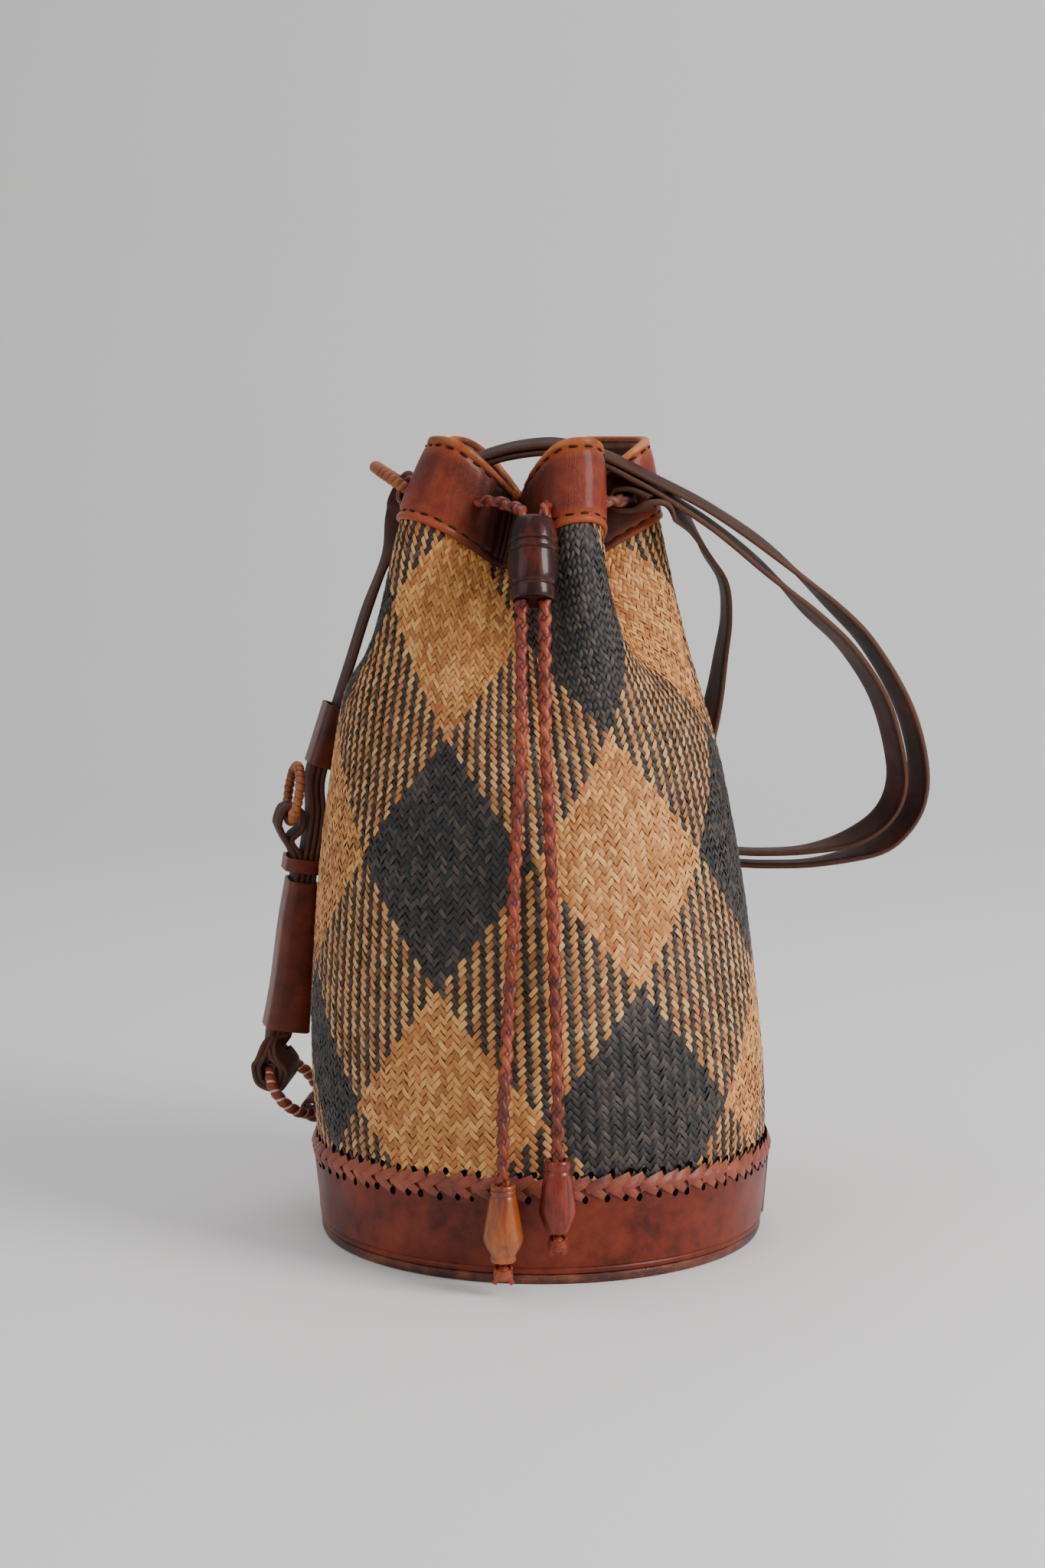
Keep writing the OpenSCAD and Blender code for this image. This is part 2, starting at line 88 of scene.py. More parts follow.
# ---------------------------------------------------------------- materials
class Paint:
    """A node tree with short calls: add makes a node, and sockets are values or other nodes' outputs."""

    def __init__(self, tree):
        self.tree = tree

    def add(self, kind, ins=None, **sets):
        node = self.tree.nodes.new(kind)
        for key, value in sets.items():
            setattr(node, key, value)
        for key, value in (ins or {}).items():
            socket = node.inputs[key]
            if isinstance(value, bpy.types.NodeSocket):
                self.tree.links.new(value, socket)
            else:
                socket.default_value = value
        return node

    def ramp(self, factor, stops):
        node = self.add("ShaderNodeValToRGB", {0: factor})
        while len(node.color_ramp.elements) < len(stops):
            node.color_ramp.elements.new(0.5)
        for element, (at, tint) in zip(node.color_ramp.elements, stops):
            element.position = at
            element.color = (*tint, 1) if len(tint) == 3 else tint
        return node.outputs[0]

    def mix(self, factor, a, b, blend="MIX"):
        node = self.add("ShaderNodeMix", {0: factor, 6: a, 7: b}, data_type="RGBA", blend_type=blend)
        return node.outputs[2]

    def sums(self, how, a, b, c=None):
        ins = {0: a, 1: b} if c is None else {0: a, 1: b, 2: c}
        return self.add("ShaderNodeMath", ins, operation=how).outputs[0]


def srgb(r, g, b):
    out = [c / 255 / 12.92 if c / 255 <= 0.04045 else ((c / 255 + 0.055) / 1.055) ** 2.4
        for c in (r, g, b)]
    return (*out, 1)


def group(name, ins, outs):
    tree = bpy.data.node_groups.new(name, "ShaderNodeTree")
    for label, kind, value in ins:
        s = tree.interface.new_socket(label, in_out="INPUT", socket_type=kind)
        if value is not None:
            s.default_value = value
    for label, kind in outs:
        tree.interface.new_socket(label, in_out="OUTPUT", socket_type=kind)
    p = Paint(tree)
    return tree, p, p.add("NodeGroupInput"), p.add("NodeGroupOutput")


F, C, V = "NodeSocketFloat", "NodeSocketColor", "NodeSocketVector"

# Leather grain: soft mottling, creases and pores
hide_group, g, gin, gout = group("hide_grain", [("Place", V, None), ("Dark", C, (0, 0, 0, 1)),
    ("Mid", C, (0, 0, 0, 1)),
    ("Light", C, (0, 0, 0, 1)), ("Fine", F, 1.0)], [("Color", C), ("Height", F), ("Rough", F)])
blotch = g.add("ShaderNodeTexNoise", {"Vector": gin.outputs[0], "Scale": 38.0, "Detail": 4.0,
    "Roughness": 0.6}).outputs[0]
cloud = g.add("ShaderNodeTexNoise", {"Vector": gin.outputs[0], "Scale": 160.0, "Detail": 5.0,
    "Roughness": 0.65}).outputs[0]
pores = g.add("ShaderNodeTexVoronoi", {"Vector": gin.outputs[0], "Scale": 1500.0},
    feature="DISTANCE_TO_EDGE").outputs[0]
pits = g.add("ShaderNodeMapRange", {0: pores, 1: 0.0, 2: 0.12, 3: 0.0, 4: 1.0}).outputs[0]
both = g.sums("ADD", g.sums("MULTIPLY", blotch, 0.62), g.sums("MULTIPLY", cloud, 0.38))
t1 = g.add("ShaderNodeMapRange", {0: both, 1: 0.36, 2: 0.5, 3: 0.0, 4: 1.0}).outputs[0]
t2 = g.add("ShaderNodeMapRange", {0: both, 1: 0.5, 2: 0.68, 3: 0.0, 4: 1.0}).outputs[0]
shade = g.mix(t2, g.mix(t1, gin.outputs[1], gin.outputs[2]), gin.outputs[3])
shade = g.mix(g.sums("MULTIPLY", g.sums("SUBTRACT", 1.0, pits), 0.25), shade, gin.outputs[1])
g.tree.links.new(shade, gout.inputs[0])
height = g.sums("ADD", g.sums("MULTIPLY", g.sums("MULTIPLY", pits, 0.35), gin.outputs[4]),
    g.sums("MULTIPLY", cloud, 0.9))
g.tree.links.new(height, gout.inputs[1])
g.tree.links.new(g.sums("ADD", 0.24, g.sums("MULTIPLY", cloud, 0.34)), gout.inputs[2])

# Cane fibres: long streaks along a strip, and its own tone
cane_group, g, gin, gout = group("cane_fibre", [("Strip", V, None), ("Tone", F, 0.5),
    ("Deep", C, (0, 0, 0, 1)),
    ("Mid", C, (0, 0, 0, 1)), ("Pale", C, (0, 0, 0, 1)), ("Aged", C, (0, 0, 0, 1))],
    [("Color", C), ("Height", F), ("Rough", F)])
long_way = g.add("ShaderNodeMapping", {"Vector": gin.outputs[0], "Scale": (0.1, 2.6, 1.0)}).outputs[0]
streak = g.add("ShaderNodeTexNoise", {"Vector": long_way, "Scale": 1.7, "Detail": 4.0,
    "Roughness": 0.6}).outputs[0]
fine_way = g.add("ShaderNodeMapping", {"Vector": gin.outputs[0], "Scale": (0.35, 9.0, 1.0)}).outputs[0]
fine = g.add("ShaderNodeTexNoise", {"Vector": fine_way, "Scale": 1.6, "Detail": 2.0}).outputs[0]
wide = g.add("ShaderNodeTexNoise", {"Vector": gin.outputs[0], "Scale": 0.02, "Detail": 2.0}).outputs[0]
value = g.sums("ADD", g.sums("MULTIPLY", gin.outputs[1], 0.62),
    g.sums("MULTIPLY", g.sums("SUBTRACT", streak, 0.5), 1.1))
value = g.sums("ADD", value, 0.19)
low = g.add("ShaderNodeMapRange", {0: value, 1: 0.05, 2: 0.5, 3: 0.0, 4: 1.0}).outputs[0]
high = g.add("ShaderNodeMapRange", {0: value, 1: 0.5, 2: 0.95, 3: 0.0, 4: 1.0}).outputs[0]
shade = g.mix(high, g.mix(low, gin.outputs[2], gin.outputs[3]), gin.outputs[4])
aged = g.add("ShaderNodeMapRange", {0: wide, 1: 0.52, 2: 0.7, 3: 0.0, 4: 0.55}).outputs[0]
shade = g.mix(aged, shade, gin.outputs[5])
g.tree.links.new(shade, gout.inputs[0])
g.tree.links.new(g.sums("ADD", g.sums("MULTIPLY", fine, 0.6), g.sums("MULTIPLY", streak, 0.6)),
    gout.inputs[1])
g.tree.links.new(g.sums("ADD", 0.3, g.sums("MULTIPLY", streak, 0.3)), gout.inputs[2])

# Turned wood: long veins and dark streaks
wood_group, g, gin, gout = group("wood_vein", [("Place", V, None), ("Dark", C, (0, 0, 0, 1)),
    ("Mid", C, (0, 0, 0, 1)),
    ("Light", C, (0, 0, 0, 1))], [("Color", C), ("Height", F)])
down = g.add("ShaderNodeMapping", {"Vector": gin.outputs[0], "Scale": (1.0, 1.0, 0.16)}).outputs[0]
vein = g.add("ShaderNodeTexNoise", {"Vector": down, "Scale": 330.0, "Detail": 5.0, "Roughness": 0.62,
    "Distortion": 0.9}).outputs[0]
body = g.add("ShaderNodeTexNoise", {"Vector": down, "Scale": 90.0, "Detail": 3.0,
    "Distortion": 0.5}).outputs[0]
blend = g.sums("ADD", g.sums("MULTIPLY", vein, 0.5), g.sums("MULTIPLY", body, 0.5))
shade = g.mix(g.add("ShaderNodeMapRange", {0: blend, 1: 0.38, 2: 0.5, 3: 0.0, 4: 1.0}).outputs[0],
    gin.outputs[1], gin.outputs[2])
shade = g.mix(g.add("ShaderNodeMapRange", {0: blend, 1: 0.5, 2: 0.64, 3: 0.0, 4: 1.0}).outputs[0], shade,
    gin.outputs[3])
g.tree.links.new(shade, gout.inputs[0])
g.tree.links.new(vein, gout.inputs[1])


def finish_material(name, make, **fixed):
    mat = bpy.data.materials.new(name)
    mat.use_nodes = True
    p = Paint(mat.node_tree)
    shader = mat.node_tree.nodes["Principled BSDF"]
    for key, value in fixed.items():
        shader.inputs[key.replace("_", " ")].default_value = value
    color, rough, height, deep = make(p)
    mat.node_tree.links.new(color, shader.inputs["Base Color"])
    if rough is not None:
        mat.node_tree.links.new(rough, shader.inputs["Roughness"])
    if height is not None:
        bump = p.add("ShaderNodeBump", {"Strength": deep[0], "Distance": deep[1], "Height": height})
        mat.node_tree.links.new(bump.outputs[0], shader.inputs["Normal"])
    return mat


def object_place(p):
    return p.add("ShaderNodeTexCoord").outputs["Object"]


def hide_nodes(p, dark, mid, light, fine=1.0, place=None):
    n = p.add("ShaderNodeGroup", node_tree=hide_group)
    p.tree.links.new(place or object_place(p), n.inputs["Place"])
    for key, tint in (("Dark", dark), ("Mid", mid), ("Light", light)):
        n.inputs[key].default_value = srgb(*tint)
    n.inputs["Fine"].default_value = fine
    return n.outputs


def hide(name, dark, mid, light, deep=(0.35, 0.0004), fine=1.0, **fixed):
    def make(p):
        o = hide_nodes(p, dark, mid, light, fine)
        return o[0], o[2], o[1], deep
    return finish_material(name, make, **fixed)


def cane(name, deep, mid, pale, aged, **fixed):
    def make(p):
        strip = p.add("ShaderNodeUVMap", uv_map="strip").outputs[0]
        tone = p.add("ShaderNodeAttribute", attribute_name="tone").outputs["Fac"]
        n = p.add("ShaderNodeGroup", {}, node_tree=cane_group)
        p.tree.links.new(strip, n.inputs["Strip"])
        p.tree.links.new(tone, n.inputs["Tone"])
        for key, tint in (("Deep", deep), ("Mid", mid), ("Pale", pale), ("Aged", aged)):
            n.inputs[key].default_value = srgb(*tint)
        return n.outputs[0], n.outputs[2], n.outputs[1], (0.55, 0.0003)
    return finish_material(name, make, **fixed)


def wood(name, dark, mid, light, **fixed):
    def make(p):
        n = p.add("ShaderNodeGroup", node_tree=wood_group)
        p.tree.links.new(object_place(p), n.inputs["Place"])
        for key, tint in (("Dark", dark), ("Mid", mid), ("Light", light)):
            n.inputs[key].default_value = srgb(*tint)
        return n.outputs[0], None, n.outputs[1], (0.12, 0.0002)
    return finish_material(name, make, **fixed)


natural_cane = cane("natural_cane", (136, 76, 30), (198, 132, 66), (232, 178, 108), (184, 98, 52),
    Specular_IOR_Level=0.45)
black_cane = cane("black_cane", (10, 8, 8), (27, 23, 22), (84, 70, 60), (44, 30, 24),
    Specular_IOR_Level=0.5)
cognac = hide("cognac_leather", (86, 26, 10), (122, 44, 18), (150, 66, 30), (0.35, 0.0004),
    Specular_IOR_Level=0.3, Coat_Weight=0.1, Coat_Roughness=0.3)
dark_hide = hide("dark_strap_leather", (26, 12, 8), (48, 26, 18), (74, 44, 32), (0.5, 0.0004),
    Coat_Weight=0.1, Coat_Roughness=0.4)
tan_hide = hide("tan_thong", (106, 46, 18), (156, 82, 38), (192, 122, 70), (0.5, 0.0004))
red_thong = hide("red_thong", (84, 26, 10), (138, 54, 24), (180, 90, 50), (0.5, 0.0005),
    Specular_IOR_Level=0.35, Coat_Weight=0.12, Coat_Roughness=0.3)
brown_thong = hide("brown_thong", (60, 22, 12), (96, 42, 24), (134, 70, 44), (0.5, 0.0004))
pale_core = hide("pale_core_cord", (170, 160, 145), (205, 196, 182), (228, 222, 210), (0.5, 0.0004))
inner_hide = hide("lining_leather", (70, 36, 26), (96, 54, 40), (120, 72, 54), (0.4, 0.0004))
thread = hide("waxed_thread", (16, 5, 3), (32, 12, 7), (52, 24, 15), (0.5, 0.0002),
    Specular_IOR_Level=0.15)
hole_dark = hide("hole_shadow", (5, 3, 3), (9, 6, 5), (14, 9, 7), (0.2, 0.0002), Specular_IOR_Level=0.0)
edge_hide = hide("edge_leather", (44, 14, 8), (84, 30, 18), (150, 84, 48), (0.6, 0.0006))
dark_wood = wood("lacquered_dark_wood", (20, 4, 2), (46, 12, 6), (80, 26, 14), Roughness=0.35,
    Specular_IOR_Level=0.2, Coat_Weight=0.26, Coat_Roughness=0.1)
amber_wood = wood("lacquered_amber_wood", (96, 36, 6), (136, 62, 12), (164, 88, 28), Roughness=0.35,
    Coat_Weight=0.3, Coat_Roughness=0.12)
red_wood = wood("lacquered_red_wood", (50, 8, 3), (108, 28, 12), (146, 54, 28), Roughness=0.35,
    Specular_IOR_Level=0.3, Coat_Weight=0.35, Coat_Roughness=0.1)


# The collar leather turns to raw orange-tan along its rim. Near its top and bottom edges it is lighter,
# which is rubbed wear that also serves as a painted highlight. Down in the folds it is darker with painted
# shade
def collar_nodes(p):
    o = hide_nodes(p, (72, 18, 5), (112, 34, 10), (146, 58, 24), 0.8)
    spot = p.add("ShaderNodeUVMap", uv_map="strip").outputs[0]
    up = p.add("ShaderNodeSeparateXYZ", {0: spot}).outputs[1]
    raw = p.add("ShaderNodeMapRange", {0: up, 1: 30.6, 2: 31.6, 3: 0.0, 4: 1.0}).outputs[0]
    rough_edge = hide_nodes(p, (116, 54, 20), (164, 88, 42), (196, 128, 76))
    # the tone attribute holds painted shade, strongest deep in the folds
    fold_shade = p.add("ShaderNodeAttribute", attribute_name="tone").outputs["Fac"]
    off_middle = p.sums("ABSOLUTE", p.sums("SUBTRACT", up, 16.0), 0.0)
    # lighter towards the collar's top and bottom edges: rubbed wear together with a painted highlight
    rub_and_highlight = p.add("ShaderNodeMapRange", {0: off_middle, 1: 9.0, 2: 15.0, 3: 0.0, 4: 0.8}).outputs[0]
    rub_highlight_and_fold_shade = p.mix(fold_shade, p.mix(rub_and_highlight, o[0], srgb(164, 74, 32)), srgb(44, 14, 8))
    creases = p.add("ShaderNodeMapping", {"Vector": spot, "Scale": (1.0, 0.12, 1.0)}).outputs[0]
    lines = p.add("ShaderNodeTexNoise", {"Vector": creases, "Scale": 0.55, "Detail": 5.0,
        "Roughness": 0.7}).outputs[0]
    height = p.sums("ADD", o[1], p.sums("MULTIPLY", lines, 2.6))
    return p.mix(raw, rub_highlight_and_fold_shade, rough_edge[0]), p.sums("ADD", o[2],
        p.sums("MULTIPLY", raw, 0.25)), height, (0.5, 0.0006)


collar_hide = finish_material("collar_leather", collar_nodes, Specular_IOR_Level=0.22, Coat_Weight=0.16,
    Coat_Roughness=0.2)


# The floor is painted darker to the left and lighter to the right: a painted falloff of the key light,
# which stands on the right
def floor_light_falloff_nodes(p):
    spot = object_place(p)
    across = p.add("ShaderNodeSeparateXYZ", {0: spot}).outputs[0]
    soft = p.add("ShaderNodeTexNoise", {"Vector": spot, "Scale": 3.0, "Detail": 2.0}).outputs[0]
    share = p.add("ShaderNodeMapRange", {0: p.sums("ADD", across, p.sums("MULTIPLY", soft, 0.2)), 1: -0.7,
        2: 0.9, 3: 0.0, 4: 1.0}).outputs[0]
    return p.ramp(share, [(0.0, srgb(222, 220, 219)[:3]),
        (1.0, srgb(248, 246, 247)[:3])]), None, None, None


floor_paint = finish_material("studio_floor", floor_light_falloff_nodes, Roughness=0.75)


# ---------------------------------------------------------------- making pieces
def grid_shape(nu, nv):
    """A flat bmesh grid, and where each of its points lies from 0 to 1 both ways."""
    bm = bmesh.new()
    bmesh.ops.create_grid(bm, x_segments=nu, y_segments=nv, size=1)
    flat = np.array([v.co[:] for v in bm.verts])
    return bm, (flat[:, 0] + 1) / 2, (flat[:, 1] + 1) / 2


def to_piece(name, bm, mat, body="bag", cad=(), smooth=True):
    mesh = bpy.data.meshes.new(name)
    bm.to_mesh(mesh)
    bm.free()
    if smooth:
        mesh.shade_smooth()
    mesh.materials.append(mat)
    piece = bpy.data.objects.new(name, mesh)
    scene.collection.objects.link(piece)
    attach(piece, body)
    if cad:
        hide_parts(*cad)
    return piece


def lay_uv(bm, us, vs):
    """Writes a UV map named strip from one pair of numbers a vertex."""
    layer = bm.loops.layers.uv.new("strip")
    bm.verts.index_update()
    for face in bm.faces:
        for loop in face.loops:
            k = loop.vert.index
            loop[layer].uv = (us[k], vs[k])


def add_skin(bm, nu, nv, place, uv=(1, 1), tone=None, close=False, caps=False):
    """Adds one shaped grid to bm. place(u, v) gives millimetres; close joins v = 1 to v = 0."""
    part, u, v = grid_shape(nu, nv)
    points = place(u, v) * MM
    for vert, p in zip(part.verts, points):
        vert.co = p
    lay_uv(part, u * uv[0], v * uv[1])
    if tone is not None:
        layer = part.verts.layers.float.new("tone")
        values = tone(u, v)
        for vert, t in zip(part.verts, values):
            vert[layer] = float(t)
    if close:
        bmesh.ops.remove_doubles(part, verts=part.verts[:], dist=1e-7)
    if caps:
        bmesh.ops.holes_fill(part, edges=[e for e in part.edges if e.is_boundary], sides=0)
    bmesh.ops.recalc_face_normals(part, faces=part.faces[:])
    scratch = bpy.data.meshes.new("scratch")
    part.to_mesh(scratch)
    part.free()
    bm.from_mesh(scratch)
    bpy.data.meshes.remove(scratch)


def turned(name, profile, mat, body, cad, move, steps=72):
    """A piece turned on a lathe from a list of (radius, height), smooth round and crisp at its grooves."""
    bm = bmesh.new()
    verts = [bm.verts.new((r * MM, 0, z * MM)) for r, z in profile]
    edges = [bm.edges.new((verts[i], verts[i + 1])) for i in range(len(verts) - 1)]
    bmesh.ops.spin(bm, geom=verts + edges, cent=(0, 0, 0), axis=(0, 0, 1), angle=2 * math.pi, steps=steps,
        use_merge=True)
    bmesh.ops.remove_doubles(bm, verts=bm.verts[:], dist=2e-6)
    bmesh.ops.recalc_face_normals(bm, faces=bm.faces[:])
    bmesh.ops.transform(bm, matrix=move, verts=bm.verts[:])
    return to_piece(name, bm, mat, body, cad)


def smooth_profile(points, sharp=(), n=5):
    """A lathe profile through points, rounded between them apart from the sharp ones."""
    pts = [vec(*p) for p in points]
    out = []
    for i in range(len(pts) - 1):
        a = pts[i - 1] if i > 0 and i not in sharp else pts[i]
        d = pts[i + 2] if i + 2 < len(pts) and i + 1 not in sharp else pts[i + 1]
        for k in range(n):
            out.append(between(a, pts[i], pts[i + 1], d, k / n))
    out.append(pts[-1])
    return [(max(p[0], 0.0), p[1]) for p in out]


def between(p, q, r, s, t):
    return 0.5 * (2 * q + (r - p) * t + (2 * p - 5 * q + 4 * r - s) * t * t + (3 * q - p - 3 * r + s)
        * t ** 3)


def route(points, n):
    p = [np.asarray(q, float) for q in points]
    out = []
    for i in range(len(p) - 1):
        for k in range(n):
            out.append(between(p[max(i - 1, 0)], p[i], p[i + 1], p[min(i + 2, len(p) - 1)], k / n))
    out.append(p[-1])
    return np.array(out)


def lengths(p):
    return np.concatenate([[0], np.cumsum(np.linalg.norm(np.diff(p, axis=0), axis=1))])


# ---------------------------------------------------------------- the wall's shape
profile = vec(0, 92, 37, 94.8, 62, 95.8, 92, 94.8, 124, 92.2, 158, 88.4, 191, 83, 227, 75.5, 260, 67, 290,
    59,
    302, 55.5, 335, 44.5, 345, 41).reshape(-1, 2)
lean = vec(0, 0, 37, 0, 92, -2.6, 158, -5, 191, -6.5, 227, -8.5, 300, -9, 335, -4.5, 345,
    -3.5).reshape(-1, 2)
valleys = [(172, 0.54, 19, 225, 3), (256, 0.56, 23, 165, 3), (333, 0.55, 16, 205, 2),
    (97, 0.58, 22, 165, 3)]


def ease(x):
    c = np.clip(x, 0, 1)
    return c * c * (3 - 2 * c)


def curve(tab, x):
    xs, ys = tab[:, 0], tab[:, 1]
    n = len(xs)
    i = np.clip(np.searchsorted(xs, x, side="right") - 1, 0, n - 2)
    slope = np.array([(ys[min(k + 1, n - 1)] - ys[max(k - 1, 0)])
        / (xs[min(k + 1, n - 1)] - xs[max(k - 1, 0)]) for k in range(n)])
    w = xs[i + 1] - xs[i]
    t = (x - xs[i]) / w
    return ((2 * t ** 3 - 3 * t * t + 1) * ys[i] + (t ** 3 - 2 * t * t + t) * w * slope[i]
        + (3 * t * t - 2 * t ** 3) * ys[i + 1] + (t ** 3 - t * t) * w * slope[i + 1])


def gather(a, h):
    wide = 1.7 - 0.7 * ease((h - 190) / 145)
    total = 0
    for at, share, half, start, power in valleys:
        away = np.abs((a - at + 180) % 360 - 180)
        total = total + share * ease((h - start) / (318 - start)) * np.exp(-(away
            / (half * wide)) ** power)
    return total


def wall_point(a, h):
    g = gather(a, h)
    t = ease((h - 150) / 185)
    full = 1 + 0.05 * t * np.cos(np.radians(a - 10)) + 0.02 * t * np.cos(np.radians(2 * (a - 20)))
    r = curve(profile, h) * full * (1 - g)
    return np.stack([curve(lean, h) + r * np.cos(np.radians(a)), r * np.sin(np.radians(a)),
        h - 42 * g * h / 335], axis=-1)


def wall(a, h, out=0.0):
    a, h = np.broadcast_arrays(np.asarray(a, float), np.asarray(h, float))
    n = unit(np.cross(wall_point(a + 0.5, h) - wall_point(a - 0.5, h),
        wall_point(a, h + 0.5) - wall_point(a, h - 0.5)))
    return wall_point(a, h) + np.asarray(out, float)[..., None] * n if np.ndim(out) else wall_point(a,
        h) + out * n


# Where a strip lies: even shares of the girth, from the front, at every height
girth_h = np.arange(24, 322, 4.0)
girth_a = 271.3 - 180 + np.arange(0, 361, 1.0)
share_table = []
for gh in girth_h:
    ring = wall_point(girth_a, np.full_like(girth_a, gh))
    s = lengths(ring)
    middle = np.interp(271.3, girth_a, s)
    share_table.append(np.interp((np.arange(-204, 205) / 408.0) * s[-1] + middle,
        np.concatenate([s - s[-1], s[1:], s[1:] + s[-1]]),
        np.concatenate([girth_a - 360, girth_a[1:], girth_a[1:] + 360])))
share_table = np.array(share_table)
STRIPS = 204
PITCH = 3.5
MID_H = 168.2


def weave_place(p, q, out):
    """A point of the weave from its two strip numbers."""
    x = (p - q) / 2
    h = MID_H + PITCH * (p + q) / 2
    x = (x + STRIPS / 2) % STRIPS - STRIPS / 2
    col = np.clip((x + STRIPS / 2) / STRIPS * 408, 0, 408)
    row = np.clip((h - girth_h[0]) / 4.0, 0, len(girth_h) - 1.001)
    c0, r0 = np.minimum(col.astype(int), 407), row.astype(int)
    fc, fr = col - c0, row - r0
    a = ((share_table[r0, c0] * (1 - fc) + share_table[r0, c0 + 1] * fc) * (1 - fr)
        + (share_table[r0 + 1, c0] * (1 - fc) + share_table[r0 + 1, c0 + 1] * fc) * fr)
    return wall(a, h, out)


def stripe(i, first):
    """True where a strip is natural: two narrow stripes hide where the ends of the pattern meet."""
    k = i % STRIPS
    edges = [29, 58, 87, 116, 131, 146, 175, 204]
    return (np.searchsorted(edges, k, side="right") % 2 == 0) == first


rng = np.random.default_rng(7)


def weave(direction):
    """Every visible float of one family of strips, as two meshes by colour."""
    places = []
    low, high = (34.0 - MID_H) / PITCH, (309.0 - MID_H) / PITCH
    for m in range(-52, 52):
        if direction == "rising":
            column = 1.25 + 2 * m
        else:
            column = 0.25 - 2 * m
        if not -STRIPS / 2 <= column < STRIPS / 2:
            continue
        first = int(math.floor(low - 2 * abs(m) - 4))
        for k in range(first, int(high) + 2 * abs(m) + 6):
            if direction == "rising":
                y = k + 1.75 + 2 * m
                p_mid, q_mid = k + 3 + 4 * m, k + 0.5
                strip = k
            else:
                y = k + 0.25 + 2 * m
                p_mid, q_mid = k + 0.5, k + 4 * m
                strip = k
            if low <= y <= high:
                places.append((p_mid, q_mid, strip))
    places = np.array(places)
    natural = stripe(places[:, 2], direction == "falling")
    nx, ny = 4, 2
    lu = np.linspace(-1.42, 1.42, nx + 1)
    lv = np.linspace(-0.445, 0.445, ny + 1)
    vv, uu = np.meshgrid(lv, lu, indexing="ij")
    uu, vv = uu.ravel(), vv.ravel()
    for colour, keep in (("natural", natural), ("black", ~natural)):
        own = places[keep]
        n = len(own)
        lift = rng.normal(0, 0.07, n)[:, None]
        size = 1 + rng.normal(0, 0.045, n)[:, None]
        skew = rng.normal(0, 0.05, n)[:, None]
        along = np.tile(uu, (n, 1)) * (1 + rng.normal(0, 0.04, n)[:, None])
        across = np.tile(vv, (n, 1)) * size + skew * np.tile(uu, (n, 1)) * 0.5
        if direction == "rising":
            p = own[:, 0:1] + along
            q = own[:, 1:2] + across
        else:
            p = own[:, 0:1] + across
            q = own[:, 1:2] + along
        bow = 0.55 - 0.86 * np.abs(np.tile(uu, (n, 1)) / 1.42) ** 3 - 0.26 * (np.tile(vv, (n, 1))
            / 0.445) ** 2
        tip = rng.normal(0, 0.1, n)[:, None] * np.tile(vv, (n, 1)) / 0.445 + rng.normal(0, 0.09, n)[:,
            None] * np.tile(uu, (n, 1))
        out = bow + 0.12 + lift + tip
        pts = weave_place(p.ravel(), q.ravel(), out.ravel()) * MM
        bm = bmesh.new()
        bmesh.ops.create_grid(bm, x_segments=nx, y_segments=ny, size=1)
        made = 1
        while made < n:
            take = min(made, n - made)
            geom = bm.faces[: take * nx * ny] if take < made else bm.faces[:]
            if take < made:
                bmesh.ops.duplicate(bm, geom=[v for v in list(bm.verts)[: take * 15]] + list(geom))
            else:
                bmesh.ops.duplicate(bm, geom=bm.verts[:] + bm.edges[:] + bm.faces[:])
            made += take
            bm.faces.ensure_lookup_table()
            bm.verts.ensure_lookup_table()
        piece = to_piece("weave_%s_%s" % (direction, colour), bm,
            natural_cane if colour == "natural" else black_cane,
            cad=("woven_body",))
        mesh = piece.data
        flat = np.zeros(len(mesh.vertices) * 3)
        mesh.vertices.foreach_get("co", flat)
        flat = flat.reshape(-1, 3)
        # each copy keeps the first grid's own corner order, read back from where its points lie
        key = np.round((flat[:15, 0] + 1) / 2 * nx).astype(int) + np.round((flat[:15, 1] + 1) / 2
            * ny).astype(int) * (nx + 1)
        order = (np.arange(len(flat)) // 15) * 15 + np.tile(key, len(flat) // 15)
        mesh.vertices.foreach_set("co", pts[order].ravel())
        tone = np.repeat(rng.uniform(0, 1, n), 15)[order]
        layer = mesh.attributes.new("tone", "FLOAT", "POINT")
        layer.data.foreach_set("value", tone)
        su = (np.tile(uu * 3, (n, 1)) + rng.uniform(0, 400, n)[:, None]).ravel()[order]
        sv = (np.tile(vv * 2.6, (n, 1)) + rng.uniform(0, 400, n)[:, None]).ravel()[order]
        corner = np.zeros(len(mesh.loops), np.int32)
        mesh.loops.foreach_get("vertex_index", corner)
        uvs = mesh.uv_layers.new(name="strip")
        uvs.data.foreach_set("uv", np.stack([su[corner], sv[corner]], axis=-1).ravel())
        if direction == "rising":
            mesh.flip_normals()
        mesh.update()


weave("falling")
weave("rising")
bpy.context.view_layer.update()
